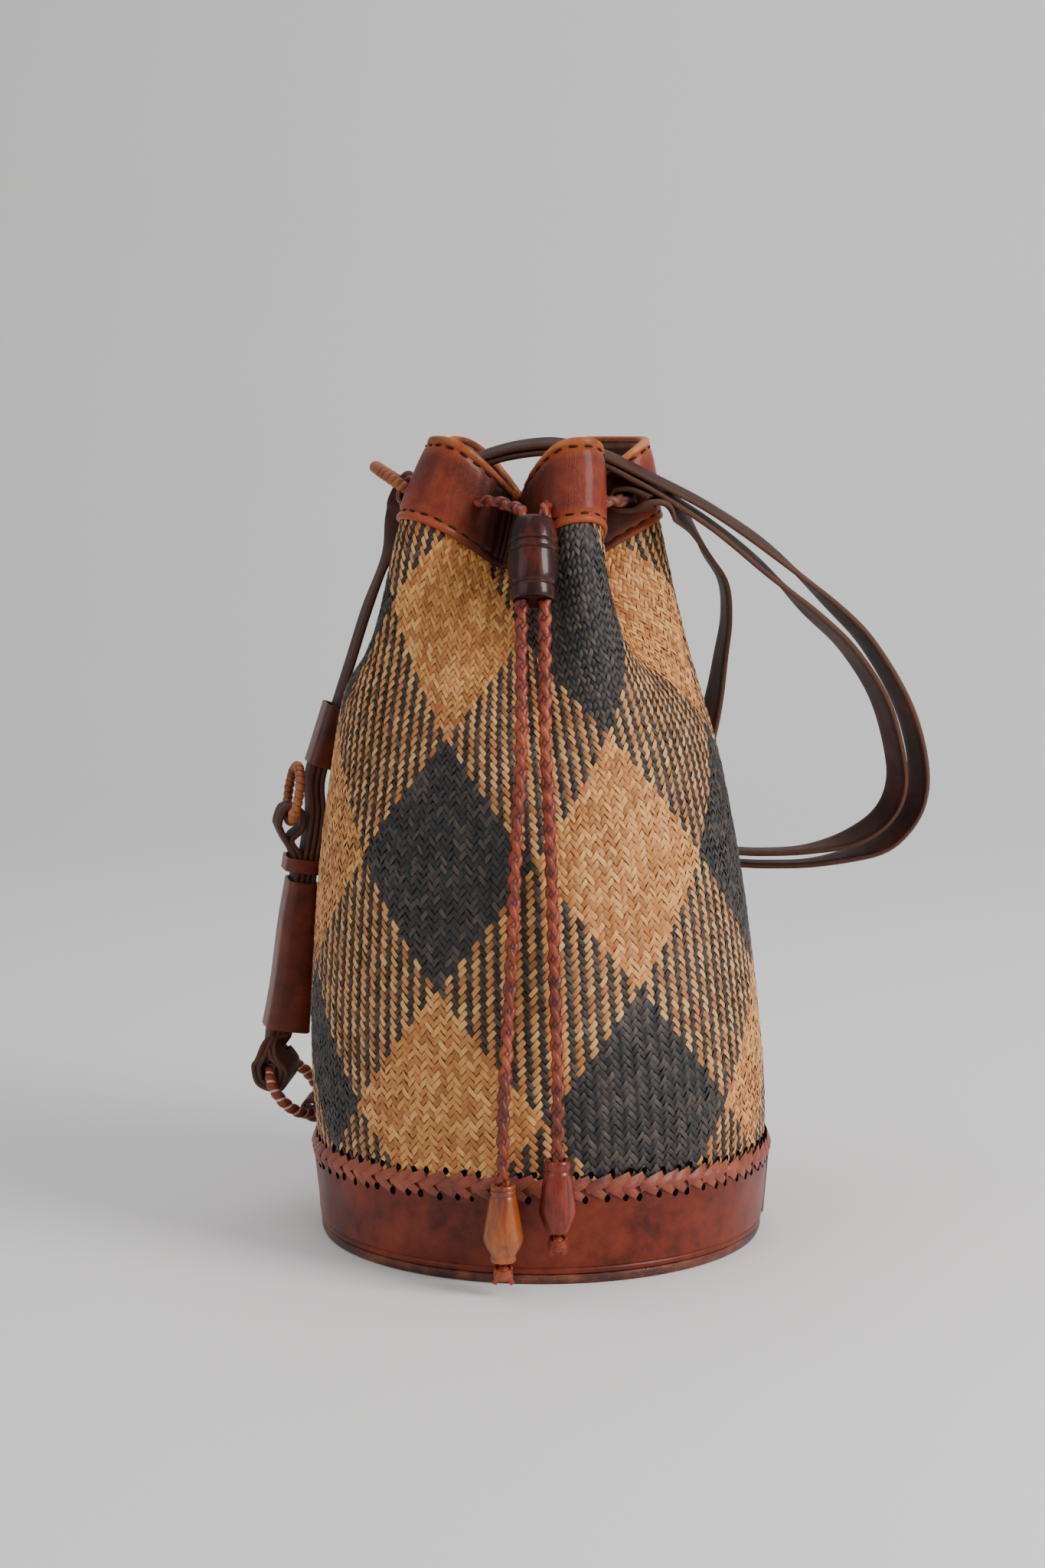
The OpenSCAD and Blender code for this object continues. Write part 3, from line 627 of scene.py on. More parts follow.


# The cane's inner face, and the ground that shows between the strips: two-tone like the strips, with
# painted shadow along their edges
def ground_nodes(p):
    spot = p.add("ShaderNodeSeparateXYZ", {0: p.add("ShaderNodeUVMap", uv_map="strip").outputs[0]})
    one = p.sums("ADD", spot.outputs[0], spot.outputs[1])
    two = p.sums("SUBTRACT", spot.outputs[1], spot.outputs[0])
    def band(x, first):
        share = p.sums("FLOORED_MODULO", p.sums("DIVIDE", p.sums("ADD", x, first), 29.0), 2.0)
        return p.sums("LESS_THAN", share, 1.0)
    cell = p.sums("SUBTRACT", p.sums("FLOOR", one, 0.0), p.sums("FLOOR", two, 0.0))
    over = p.sums("LESS_THAN", p.sums("FLOORED_MODULO", cell, 4.0), 2.0)
    dark, pale = srgb(34, 30, 32), srgb(150, 104, 60)
    a = p.mix(band(one, 0.0), dark, pale)
    b = p.mix(band(two, 29.0), dark, pale)
    edge_a = p.sums("ABSOLUTE", p.sums("SUBTRACT", p.sums("FRACT", one, 0.0), 0.5), 0.0)
    edge_b = p.sums("ABSOLUTE", p.sums("SUBTRACT", p.sums("FRACT", two, 0.0), 0.5), 0.0)
    edge = p.add("ShaderNodeMix", {0: over, 2: edge_b, 3: edge_a}, data_type="FLOAT").outputs[0]
    # painted shadow: near-black along the edges of each strip, where the gaps between strips are
    gap_shadow = p.add("ShaderNodeMapRange", {0: edge, 1: 0.36, 2: 0.5, 3: 0.0, 4: 0.85}).outputs[0]
    return p.mix(gap_shadow, p.mix(over, b, a), srgb(14, 10, 9)), None, p.sums("SUBTRACT", 1.0, gap_shadow), (0.7,
        0.0006)


cane_ground = finish_material("cane_ground", ground_nodes, Roughness=0.7)
LOW, HIGH = (12.0 - MID_H) / PITCH, (306.0 - MID_H) / PITCH


def ground_place(u, v):
    """The ground's closed section: up the outside, down the inside."""
    outer = v <= 0.5
    y = np.where(outer, LOW + (HIGH - LOW) * v * 2, HIGH - (HIGH - LOW) * (v - 0.5) * 2)
    x = -STRIPS / 2 + STRIPS * np.clip(u, 0, 0.99999)
    return weave_place(x + y, y - x, np.where(outer, -0.75, -2.2))


part, u, v = grid_shape(306, 80)
for vert, spot in zip(part.verts, ground_place(u, v) * MM):
    vert.co = spot
lay_uv(part, -STRIPS / 2 + STRIPS * u, np.where(v <= 0.5, LOW + (HIGH - LOW) * v * 2,
    HIGH - (HIGH - LOW) * (v - 0.5) * 2))
bmesh.ops.remove_doubles(part, verts=part.verts[:], dist=2e-5)
loose = [e for e in part.edges if e.is_boundary]
bmesh.ops.bridge_loops(part, edges=loose)
bmesh.ops.recalc_face_normals(part, faces=part.faces[:])
to_piece("weave_ground", part, cane_ground, cad=("woven_body",))


# ---------------------------------------------------------------- the leather base
def band_r(z):
    return curve(profile, z)


def edge_rise(a):
    """The band's upper edge is a little higher in front than at the sides."""
    return 3.4 * np.maximum(0, -np.sin(np.radians(a))) ** 2 - 1.0


def band_place(u, v):
    a = u * 360
    zs = np.array([4.3, 4.35, 4.9, 6.0, 6.7, 7.4, 10, 14, 19, 24, 29, 33, 36, 38.2, 39.0, 39.2, 38.8])
    outs = np.array([0.4, 1.75, 2.1, 2.15, 1.65, 2.2, 2.45, 2.5, 2.5, 2.45, 2.4, 2.3, 2.2, 2.0, 1.6, 0.9,
        0.3])
    z = np.interp(v * (len(zs) - 1), np.arange(len(zs)), zs)
    out = np.interp(v * (len(zs) - 1), np.arange(len(zs)), outs)
    wave = (0.22 * np.sin(np.radians(a * 5 + 40)) * np.sin(z / 9) + 0.14
        * np.sin(np.radians(a * 11 + z * 6)) + 0.1 * np.sin(np.radians(a * 23 - z * 9))) * ease((z - 8)
        / 8) * ease((39 - z) / 5)
    r = band_r(z) + out - 0.2 + wave
    z = z + edge_rise(a) * ease((z - 20) / 18)
    return np.stack([r * np.cos(np.radians(a)), r * np.sin(np.radians(a)), z], axis=-1)


bm = bmesh.new()
add_skin(bm, 300, 48, band_place, uv=(600, 40))
bmesh.ops.remove_doubles(bm, verts=bm.verts[:], dist=1e-6)
bmesh.ops.recalc_face_normals(bm, faces=bm.faces[:])
band_hide = hide("base_band_leather", (66, 18, 8), (106, 36, 18), (132, 54, 30), (0.3, 0.0004), 0.7,
    Specular_IOR_Level=0.2, Coat_Weight=0.14, Coat_Roughness=0.25)
to_piece("band", bm, band_hide, cad=("base_band",))

bm = bmesh.new()


def lap_place(u, v):
    """The overlapping end of the band: a thin leaf with a rounded rim and a cut edge."""
    a = -6 + 20 * u
    z = 5.6 + 29.5 * v
    r = band_r(z) + 2.5 + 0.75 * np.minimum(ease(u / 0.04), 1) * np.minimum(ease((1 - u) / 0.03),
        ease(v / 0.04) * ease((1 - v) / 0.04)) - 0.35
    return np.stack([r * np.cos(np.radians(a)), r * np.sin(np.radians(a)), z], axis=-1)


add_skin(bm, 40, 24, lap_place, uv=(34, 30))
to_piece("band_end", bm, band_hide, cad=("band_lap",))

turned("sole_edge", smooth_profile([(86, 0.05), (92.6, 0.05), (93.6, 0.9), (94.1, 2.0), (93.9, 3.3),
    (93.1, 4.1), (90, 4.3)], sharp=(0,)),
    edge_hide, "bag", ("base_welt",), Matrix.Identity(4), steps=240)

# Lacing: 80 pairs of flat thongs, each pair meeting in an arrowhead over the band's edge
LACES = 80


def lace(bm, a0, z0, a1, z1, wide, lift, seed):
    mid_a, mid_z = (a0 + a1) / 2, (z0 + z1) / 2
    r_mid = 97.6
    run = vec((a1 - a0) * math.pi / 180 * r_mid, z1 - z0)
    size = np.linalg.norm(run)
    along = run / size
    side = vec(-along[1], along[0])

    def place(u, v):
        s, w = (u - 0.5) * size, (v - 0.5) * wide * (0.72 + 0.28
            * np.sin(math.pi * np.clip(u, 0.08, 0.92)))
        flat = s[:, None] * along + w[:, None] * side
        z = mid_z + flat[:, 1]
        a = mid_a + flat[:, 0] / r_mid * 180 / math.pi
        edge = 1 - np.abs(2 * v - 1) ** 4
        rise = lift * np.sin(math.pi * np.clip(u * 0.96 + 0.02, 0, 1)) ** 0.55 * (0.55 + 0.45 * edge)
        r = band_r(z) + 1.0 + 1.2 * ease((40.5 - z) / 3) + rise + 0.12 * math.sin(seed)
        z = z + edge_rise(a)
        return np.stack([r * np.cos(np.radians(a)), r * np.sin(np.radians(a)), z], axis=-1)

    add_skin(bm, 8, 4, place, uv=(size, wide))


bm, holes = bmesh.new(), bmesh.new()
step = 360 / LACES
for k in range(LACES):
    a = k * step + 0.6 * math.sin(k * 2.1)
    sway = 0.35 * math.sin(k * 1.7)
    lace(bm, a - 3.6, 36.6 + sway, a + 2.9, 41.4 + 0.4 * math.sin(k * 1.3), 4.3, 1.55, k)
    lace(bm, a - 3.7, 39.2 + sway, a + 1.1, 33.6 + 0.3 * math.sin(k * 2.3), 3.9, 1.05, k + 0.5)
    for z, da, tall, seat in ((42.8 + 0.4 * math.sin(k * 1.3), 3.1, 1.25, 0.75),
            (33.0 + 0.3 * math.sin(k * 2.3), 1.7, 1.35, 2.2)):
        r = band_r(np.array([z]))[0] + seat
        z = z + edge_rise(a + da)
        t = math.radians(a + da)
        turn = Matrix.Translation(Vector((r * math.cos(t), r * math.sin(t), z)) * MM) @ Matrix.Rotation(t,
            4, "Z") @ Matrix.Diagonal((0.25, 1.0, tall, 1))
        bmesh.ops.create_uvsphere(holes, u_segments=10, v_segments=6, radius=1.25 * MM, matrix=turn)
to_piece("lacing", bm, hide("lacing_leather", (88, 30, 14), (138, 58, 30), (168, 86, 50), (0.5, 0.0004),
    Coat_Weight=0.1, Coat_Roughness=0.35), cad=("base_lacing",))
to_piece("lacing_holes", holes, hole_dark)


# ---------------------------------------------------------------- the collar
def fold_of(a, h):
    return np.clip(gather(a, h) / 0.5, 0, 1)


pleat_rng = np.random.default_rng(3)
pleat_phase = pleat_rng.uniform(0, 360, 14)


def pleats(a, h):
    """Fine upright creases, deepest inside the folds."""
    deep = fold_of(a, h)
    fine = np.sin(np.radians(a * 96 + 30 * np.sin(np.radians(h * 9)))) * 0.26 * deep ** 1.5
    wide = sum(np.sin(np.radians(a * (17 + 3 * i) + pleat_phase[i])) for i in range(5)) * 0.09
    slack = 0.35 * np.sin(np.radians(a * 6 + 50)) * np.sin(np.radians((h - 302) * 5.4))
    return fine + wide * (0.5 + deep) + slack * (1 - deep)


def collar_place(u, v):
    a = u * 360
    t = v * 30
    hs = np.array([302.0, 301.8, 302.3, 303.4, 304.6, 305.3, 306.0, 307.4, 310, 313, 316, 319, 322, 325,
        328, 330.2, 331.3, 331.9, 332.6, 333.8, 334.9, 335.4, 335.5, 335.2, 333.5, 331, 328, 322, 316,
        310, 306])
    outs = np.array([0.5, 1.4, 2.35, 2.6, 2.2, 1.75, 2.2, 2.5, 2.6, 2.6, 2.6, 2.6, 2.6, 2.6, 2.5, 2.35,
        2.0, 1.75, 2.25, 2.55, 2.3, 1.6, 0.6, -0.5, -1.1, -1.2, -1.2, -1.2, -1.2, -1.2, -1.2])
    h = np.interp(t, np.arange(31), hs)
    out = np.interp(t, np.arange(31), outs)
    body = ease((h - 301.5) / 4) * ease((337 - h) / 3)
    return wall(a, h, out + pleats(a, h) * body + 0.3 * fold_of(a, h))


bm = bmesh.new()
add_skin(bm, 620, 90, collar_place)
layer = bm.loops.layers.uv.get("strip")
# the tone layer carries painted shade for the folds, up to 0.93 where they are deepest
fold_shade_layer = bm.verts.layers.float.new("tone")
bm.verts.ensure_lookup_table()
part, u, v = grid_shape(620, 90)
part.free()
heights = np.interp(v * 30, np.arange(31), np.array([302.0, 301.8, 302.3, 303.4, 304.6, 305.3, 306.0,
    307.4, 310, 313, 316, 319, 322, 325, 328, 330.2, 331.3, 331.9, 332.6, 333.8, 334.9, 335.4, 335.5,
    335.2, 333.5, 331, 328, 322, 316, 310, 306]))
folds = fold_of(u * 360, heights)
for k, vert in enumerate(bm.verts):
    vert[fold_shade_layer] = float(0.93 * ease(folds[k] / 0.9))
    for loop in vert.link_loops:
        loop[layer].uv = (u[k] * 330, (heights[k] - 302) if v[k] < 0.8 else 10)
bmesh.ops.remove_doubles(bm, verts=bm.verts[:], dist=1e-6)
bmesh.ops.recalc_face_normals(bm, faces=bm.faces[:])
to_piece("collar_leather", bm, collar_hide, cad=("collar",))


def lining_place(u, v):
    a = u * 360
    h = np.where(v < 0.5, 304 + (333.5 - 304) * v * 2, 333.5 - (333.5 - 304) * (v - 0.5) * 2)
    return wall(a, h, np.where(v < 0.5, -1.5, -2.3) + 0.4 * pleats(a, h))


bm = bmesh.new()
add_skin(bm, 300, 24, lining_place, uv=(330, 60))
bmesh.ops.remove_doubles(bm, verts=bm.verts[:], dist=1e-5)
to_piece("collar_inside", bm, inner_hide, cad=("collar_lining",))


def stitch_row(name, h, count, half, out, cad):
    """Running stitches spaced evenly round the gathered wall, each half sunk in its groove."""
    fine = np.arange(0, 360.5, 0.5)
    s = lengths(wall(fine, np.full_like(fine, h), out))
    bm = bmesh.new()
    for k in range(count):
        a = float(np.interp((k + 0.5) / count * s[-1], s, fine))
        here = wall(a, h, out + float(pleats(np.array(a), np.array(h))) * 0.8)
        ahead = unit(wall(a + 0.4, h, out) - wall(a - 0.4, h, out))
        face = unit(wall(a, h, out + 1) - wall(a, h, out))
        up = np.cross(face, ahead)
        lean_by = 0.12 * math.sin(k * 2.7)
        ahead = unit(ahead + lean_by * up)
        up = np.cross(face, ahead)
        m = Matrix([[*(x * y)] for x, y in zip(np.stack([ahead, up, face], axis=1),
            np.ones((3, 3)))]).to_4x4()
        m.translation = Vector(here * MM)
        bmesh.ops.create_uvsphere(bm, u_segments=8, v_segments=6, radius=MM,
            matrix=m @ Matrix.Diagonal((half, 0.5, 0.42, 1)))
    to_piece(name, bm, thread, cad=cad)


stitch_row("rim_stitches", 331.6, 62, 2.1, 2.15, ("rim_stitching",))
stitch_row("hem_stitches", 305.3, 68, 1.9, 1.95, ("hem_stitching",))

# Small eyelets punched in the back right lobe
bm = bmesh.new()
for h, a in ((318.5, 357), (314.2, 357.4)):
    here, face = wall(a, h, 2.75), unit(wall(a, h, 3.75) - wall(a, h, 2.75))
    m = Vector(face).to_track_quat("Z", "Y").to_matrix().to_4x4()
    m.translation = Vector(here * MM)
    bmesh.ops.create_uvsphere(bm, u_segments=12, v_segments=6, radius=1.1 * MM,
        matrix=m @ Matrix.Diagonal((1, 1, 0.25, 1)))
to_piece("collar_eyelets", bm, hole_dark)


# ---------------------------------------------------------------- cords
def frames(p):
    """Directions along a path, and two more square to it that never twist."""
    t = unit(np.gradient(p, axis=0))
    n = np.zeros_like(p)
    first = vec(1, 0, 0) if abs(t[0][0]) < 0.9 else vec(0, 1, 0)
    n[0] = unit(np.cross(t[0], np.cross(first, t[0])))
    for i in range(1, len(p)):
        n[i] = unit(n[i - 1] - t[i] * np.dot(n[i - 1], t[i]))
    return t, n, np.cross(t, n)


def braid_nodes(p):
    o = hide_nodes(p, (84, 24, 8), (134, 46, 18), (176, 80, 40))
    across = p.add("ShaderNodeSeparateXYZ", {0: p.add("ShaderNodeUVMap",
        uv_map="strip").outputs[0]}).outputs[1]
    off = p.sums("ABSOLUTE", p.sums("SUBTRACT", across, 2.0), 0.0)
    # painted shade: the strand edges, and most of the core seen between the strands, go to near-black
    # brown as the grooves' shadow
    groove_shade = p.add("ShaderNodeMapRange", {0: off, 1: 1.1, 2: 1.9, 3: 0.0, 4: 0.9}).outputs[0]
    return p.mix(groove_shade, o[0], srgb(38, 10, 5)), o[2], o[1], (0.4, 0.0004)


braid_hide = finish_material("braid_leather", braid_nodes, Specular_IOR_Level=0.4, Coat_Weight=0.2,
    Coat_Roughness=0.25)


def braid(name, points, body="bag", lay=17.0, mat=None, cad=()):
    """A round braid of four flat thongs: two turn one way, two the other, over one and under one."""
    p = route(points, 30)
    s = lengths(p)
    total = s[-1]
    _, n, b = frames(p)
    bm = bmesh.new()
    count = int(total / 0.9)
    turn = math.radians(44)
    for sign, start in ((1, 0), (1, math.pi), (-1, 0.5), (-1, 0.5 + math.pi)):
        def place(u, v):
            w = (v - 0.5) * 3.9
            d = np.clip(u * total - w * math.sin(turn), 0, total)
            angle = sign * (2 * math.pi * u * total / lay + w * math.cos(turn) / 2.3) + start
            over = sign * np.cos(4 * math.pi * u * total / lay - 0.5)
            edge = 1 - np.abs(2 * v - 1) ** 2.6
            r = 1.76 + (0.62 + 0.5 * over) * (0.08 + 0.92 * edge)
            px = np.stack([np.interp(d, s, p[:, i]) for i in range(3)], axis=-1)
            nx = unit(np.stack([np.interp(d, s, n[:, i]) for i in range(3)], axis=-1))
            bx = unit(np.stack([np.interp(d, s, b[:, i]) for i in range(3)], axis=-1))
            return px + r[:, None] * (np.cos(angle)[:, None] * nx + np.sin(angle)[:, None] * bx)
        add_skin(bm, count, 6, place, uv=(total, 4))

    def core_place(u, v):
        d = u * total
        px = np.stack([np.interp(d, s, p[:, i]) for i in range(3)], axis=-1)
        nx = np.stack([np.interp(d, s, n[:, i]) for i in range(3)], axis=-1)
        bx = np.stack([np.interp(d, s, b[:, i]) for i in range(3)], axis=-1)
        angle = v * 2 * math.pi
        return px + 1.74 * (np.cos(angle)[:, None] * nx + np.sin(angle)[:, None] * bx)
    add_skin(bm, max(20, int(total / 3)), 8, core_place, uv=(total, 10), close=True, caps=True)
    piece = to_piece(name, bm, mat or braid_hide, body, cad)
    return piece, p, total


lock_axis = unit([0, -0.39, -0.92])
lock_mid = vec(-3.8, -60.2, 286.5)
lock_top = lock_mid - 17 * lock_axis


def lock_line(x, d):
    return list(lock_top + d * lock_axis + vec(x, 0, 0))


straight = (-4, 3, 26, 48, 70, 81, 87)
left_route = [[-26, -31, 309], [-19, -38, 309.5], [-12, -44, 307.5]] + [lock_line(-4.7, d)
    for d in straight] + [
    [-8.8, -89, 207], [-9.6, -92, 192], [-10.6, -93.5, 175], [-11.5, -95, 152], [-12.8, -97.5, 124],
    [-14, -101.5, 100],
    [-15.2, -106.5, 82], [-15.6, -108.5, 68], [-15.6, -108.5, 50], [-15.6, -108.5, 32],
    [-15.6, -108.5, 13]]
right_route = [[1, -38, 309], [2, -42.5, 308.5]] + [lock_line(4.7, d) for d in straight] + [
    [1.4, -89, 207], [2.2, -92, 192], [3, -93.5, 175], [3.8, -95, 152], [4.6, -98.5, 126],
    [5.2, -104, 104],
    [5.8, -108.5, 86], [5.8, -108.5, 70], [5.8, -108.5, 48], [5.8, -108.5, 25]]
run_route = [[-26, -31, 309], [-31, -23, 309], [-35, -10, 308], [-38, 2, 306], [-36, 12, 308],
    [-31, 22, 309], [-20, 29, 308],
    [-10, 29, 305], [2, 27, 308], [12, 17, 309], [20, 5, 309], [30, -4, 310], [37, -12, 310],
    [34.4, -19, 309.6],
    [28, -25, 309.5], [19, -30, 309], [9, -34, 309], [1, -38, 309]]
tail_l, path_l, size_l = braid("tail_braid_left", left_route, cad=("tail_left",))
tail_r, path_r, size_r = braid("tail_braid_right", right_route, cad=("tail_right",))
braid("mouth_braid", run_route, cad=("drawstring_run",), mat=brown_thong)


# ---------------------------------------------------------------- turned wood
def seat(x, y, z, tilt=0.0):
    return Matrix.Translation((x * MM, y * MM, z * MM)) @ Matrix.Rotation(tilt, 4, "X")


tilt = math.pi - math.atan2(0.39, 0.92)
lock_move = seat(*lock_mid, tilt) @ Matrix.Translation((0, 0, -17 * MM))
lock_piece = turned("cord_lock_barrel", smooth_profile([(0.02, 0.6), (6.9, 0.4), (7.9, 0.0), (8.7, 1.6),
    (9.6, 5.4), (10.0, 8.9), (10.0, 9.5), (9.2, 10.3), (10.05, 11.1),
    (10.1, 11.9), (10.1, 12.9), (9.3, 13.8), (10.15, 14.7), (10.2, 17), (10.2, 20), (9.9, 24),
    (9.3, 26.6), (8.5, 27.8), (9.1, 28.9),
    (9.0, 31), (8.6, 33.2), (7.9, 34), (6.6, 33.7), (0.02, 33.5)],
    sharp=(6, 7, 8, 10, 11, 12, 16, 17, 18)), dark_wood, "lock", ("cord_lock",), lock_move,
    96)
bm = bmesh.new()
for x in (-4.7, 4.7):
    for z in (0.3, 33.7):
        bmesh.ops.create_uvsphere(bm, u_segments=20, v_segments=8, radius=3.15 * MM,
            matrix=lock_move @ Matrix.Translation((x * MM, 0, z * MM)) @ Matrix.Diagonal((1, 1, 0.12, 1)))
to_piece("cord_lock_bores", bm, hole_dark, "lock")

turned("bead_amber", smooth_profile([(3.1, 0.3), (4.6, 0), (5.2, 1), (5.0, 2.6), (5.6, 3.6), (7.3, 6.8),
    (7.95, 9.2), (7.8, 11.5), (6.6, 18.5), (5.3, 25.4), (4.75, 26.7),
    (5.0, 27.7), (5.0, 28.5), (4.6, 29.0), (4.95, 29.5), (4.9, 30.4), (4.3, 31), (3.1, 30.8)],
    sharp=(3, 10, 12, 13, 14)), amber_wood, "left_bead", ("bead_left",),
    seat(-15.6, -108.5, 14))
turned("bead_mahogany", smooth_profile([(3.1, 0.3), (4.2, 0), (4.8, 0.9), (6.6, 5.4), (7.25, 8),
    (7.1, 10.4), (6.4, 17), (5.5, 23.6), (5.0, 24.8), (5.35, 25.6), (5.35, 27.4),
    (5.1, 28.4), (4.5, 29), (3.1, 28.8)], sharp=(7, 8, 9)), red_wood, "right_bead",
    ("bead_right",), seat(5.8, -108.5, 26))


# ---------------------------------------------------------------- flat straps and thongs
def ribbon(bm, points, wide, thick, n=8, soft=0.45):
    """A flat strap along points that carry the direction of its width, with rounded edges and cut ends."""
    p = route(points, n)
    place, way = p[:, :3], p[:, 3:]
    t = unit(np.gradient(place, axis=0))
    side = unit(way - t * np.sum(way * t, axis=1)[:, None])
    face = np.cross(t, side)
    corner = [(-1, -1), (-0.5, -1), (0, -1), (0.5, -1), (1, -1), (1, 0), (1, 1), (0.5, 1), (0, 1),
        (-0.5, 1), (-1, 1), (-1, 0)]
    section = []
    for x, y in corner:
        w, f = x * wide / 2, y * thick / 2
        if abs(x) == 1 and y != 0:
            section.append((w - x * soft * 0.9, f))
            continue
        section.append((w, f))
    ring = np.array(section + [section[0]])
    s = lengths(place)

    def shape(u, v):
        i = np.clip(u * (len(p) - 1), 0, len(p) - 1)
        k = np.arange(len(p))
        mid = np.stack([np.interp(i, k, place[:, c]) for c in range(3)], axis=-1)
        sd = np.stack([np.interp(i, k, side[:, c]) for c in range(3)], axis=-1)
        fc = np.stack([np.interp(i, k, face[:, c]) for c in range(3)], axis=-1)
        w = np.interp(v * 12, np.arange(13), ring[:, 0])
        f = np.interp(v * 12, np.arange(13), ring[:, 1])
        return mid + w[:, None] * sd + f[:, None] * fc

    add_skin(bm, len(p) - 1, 12, shape, uv=(s[-1], 2 * wide), close=True, caps=True)


STRAP_W, STRAP_T = 14.0, 2.2
LAYER = STRAP_T + 0.25
RING_R, RING_T = 13.5, 5.2


def at(p, w):
    return np.concatenate([np.asarray(p, float), np.asarray(w, float)])


def eye(q, rim, up, mid, leg=18, half=(5.2 + 2.2) / 2 + 1.5, pair=2.2 / 2 + 0.13, side_turn=1):
    q, rim, up, mid = (np.asarray(x, float) for x in (q, rim, up, mid))
    u = unit(up - np.dot(up, rim) * rim)
    v = side_turn * np.cross(rim, u)
    inward = 1.2 * unit(mid - q)
    return [at(q + e[0] * u + e[1] * v + e[2] * inward, rim)
        for e in ((leg, -pair, 0), (leg * 0.6, -half * 0.8, 1), (2, -half, 1),
        (-half * 0.75, -half * 0.75, 1), (-half, 0, 1), (-half * 0.75, half * 0.75, 1), (2, half, 1),
        (leg * 0.6, half * 0.8, 1), (leg, pair, 0))]


tl_mid = vec(-58.5, 9, 315.5)
tl_a = unit([-0.83, 0.05, 0.55])
tl_b = unit(np.cross([0.55, 0, 0.83], tl_a))
ll_mid = vec(-107.5, 26, 53)
ll_a = unit([-0.7, 0, 0.7])
ll_b = unit([0.3, 0.9, 0.3])
lb_mid = vec(29, 112.5, 50)
lb_a = vec(0, 0, 1)
lb_b = vec(0.966, -0.259, 0)
sl_mid = vec(-109, 27, 112)
sl_up = unit([0.16, 0, 0.987])
sl_across = unit([-0.25, 0.968, 0.04])
sl_out = np.cross(sl_up, sl_across)
side = vec(-0.25, 0.968, 0)
up_mid = vec(-93.5, 28.5, 208)
up_up = unit([6, 0.4, 19])
up_out = unit(np.cross(up_up, side))
up_across = -np.cross(up_out, up_up)
low_q = ll_mid + RING_R * ll_a


def sl(o, u):
    return at(sl_mid + o * sl_out + u * sl_up, sl_across)


def us(o, u):
    return at(up_mid + o * up_out + u * up_up, side)


adj_mid = sl(9.5, 70)[:3]
L = LAYER


def top_q(turn):
    t = math.radians(turn)
    return tl_mid + RING_R * (math.sin(t) * tl_b - math.cos(t) * tl_a)


def top_rim(turn):
    t = math.radians(turn)
    return math.sin(t) * tl_a + math.cos(t) * tl_b


left_strap = (eye(top_q(-67), -top_rim(-67), [-0.25, 0.05, -0.96], tl_mid, 14)
    + [at([-66.5, 28, 284], side), at([-75, 29, 262], side), at([-82, 28.5, 240], side), us(-0.5 * L, 18),
    us(-0.5 * L, -18),
       sl(-0.5 * L, 62), sl(-0.5 * L, 36), sl(-0.5 * L, 0), sl(-0.5 * L, -34)]
       + eye(low_q, ll_b, sl_up, ll_mid, 9, side_turn=-1)
    + [sl(0.5 * L, -34), sl(0.5 * L, 0), sl(0.5 * L, 36), sl(0.5 * L, 62), us(0.5 * L, -18),
    us(0.5 * L, 10)])
left_loop = ([us(-1.5 * L, 10), us(-1.5 * L, -18), sl(-1.5 * L, 62), sl(-1.5 * L, 36), sl(-1.5 * L, 0),
    sl(-1.5 * L, -34)]
    + eye(low_q, ll_b, sl_up, ll_mid, 9, (5.2 + 2.2) / 2 + 1.5 + L, 1.5 * L, -1)
    + [sl(1.5 * L, -34), sl(1.5 * L, 0), sl(1.5 * L, 36), sl(1.5 * L, 44)]
    + eye(adj_mid - 12 * sl_up, sl_across, -sl_up, adj_mid, 8) + [sl(2.5 * L, 44), sl(2.5 * L, 37.5)])
slant, inner_lean, back_side = vec(0, 0.98, 0.2), vec(-0.5, 0.86, 0.1), vec(-0.97, 0.26, 0)
one, two, three = vec(-0.2, 0.98, 0), vec(0, 1, 0), vec(-0.3, 0.95, 0)
four = vec(-0.8, 0.6, 0)
pair_inner = [at(p[:3], p[3]) for p in [(-37.5, 6, 321, slant), (-29, 2, 323.6, slant),
    (-13.5, -2, 328.2, slant), (2, -8, 330.2, slant),
    (13, -12, 329, slant), (26, -16, 325, slant), (37, -17, 319.5, slant), (47, -16, 314, slant),
    (70, -9, 299.5, slant), (94.5, 6, 280, slant),
    (115.5, 20, 261, inner_lean), (134, 38, 243.5, inner_lean), (150, 56, 220, inner_lean),
    (159, 70, 193, inner_lean), (160, 78, 176.5, inner_lean),
    (154, 84, 163.5, inner_lean), (141, 89, 154, inner_lean), (121, 95, 148, one), (101, 101, 146, two),
    (80, 106, 146, two), (60, 111, 142.5, two),
    (44, 113.5, 134, two), (34, 114, 119, three), (30.5, 112.5, 102, four),
    (29, 110.4, 88, back_side)]] + eye(lb_mid + RING_R * lb_a, back_side, [0, 0, 1], lb_mid, 16)
pair_outer = eye(tl_mid - RING_R * tl_a, tl_b, [0.25, -0.2, 0.95], tl_mid,
    10) + [at(p[:3], p[3]) for p in [(-39, 4.6, 322.6, slant), (-29, 1, 326.2, slant),
    (-13.5, -2, 331, slant), (2, -8, 333, slant), (13, -12, 331.7, slant), (26, -16, 328, slant),
    (37, -17, 323, slant), (47, -16, 318, slant), (70, -9, 306, slant),
    (98, 6, 287, slant), (127, 26, 262, inner_lean), (144, 42, 244, inner_lean),
    (160.5, 60, 218, inner_lean), (169, 72, 193, inner_lean), (170, 80, 174.5, inner_lean),
    (164, 86, 160, inner_lean), (152, 91, 149.5, inner_lean), (127, 97, 142, one), (104, 103, 140, two),
    (82, 108, 140, two), (62, 113, 137, two),
    (48, 115.5, 130, two), (38, 116.5, 117, three), (32.4, 116, 101, four), (30.2, 115, 87, back_side)]]
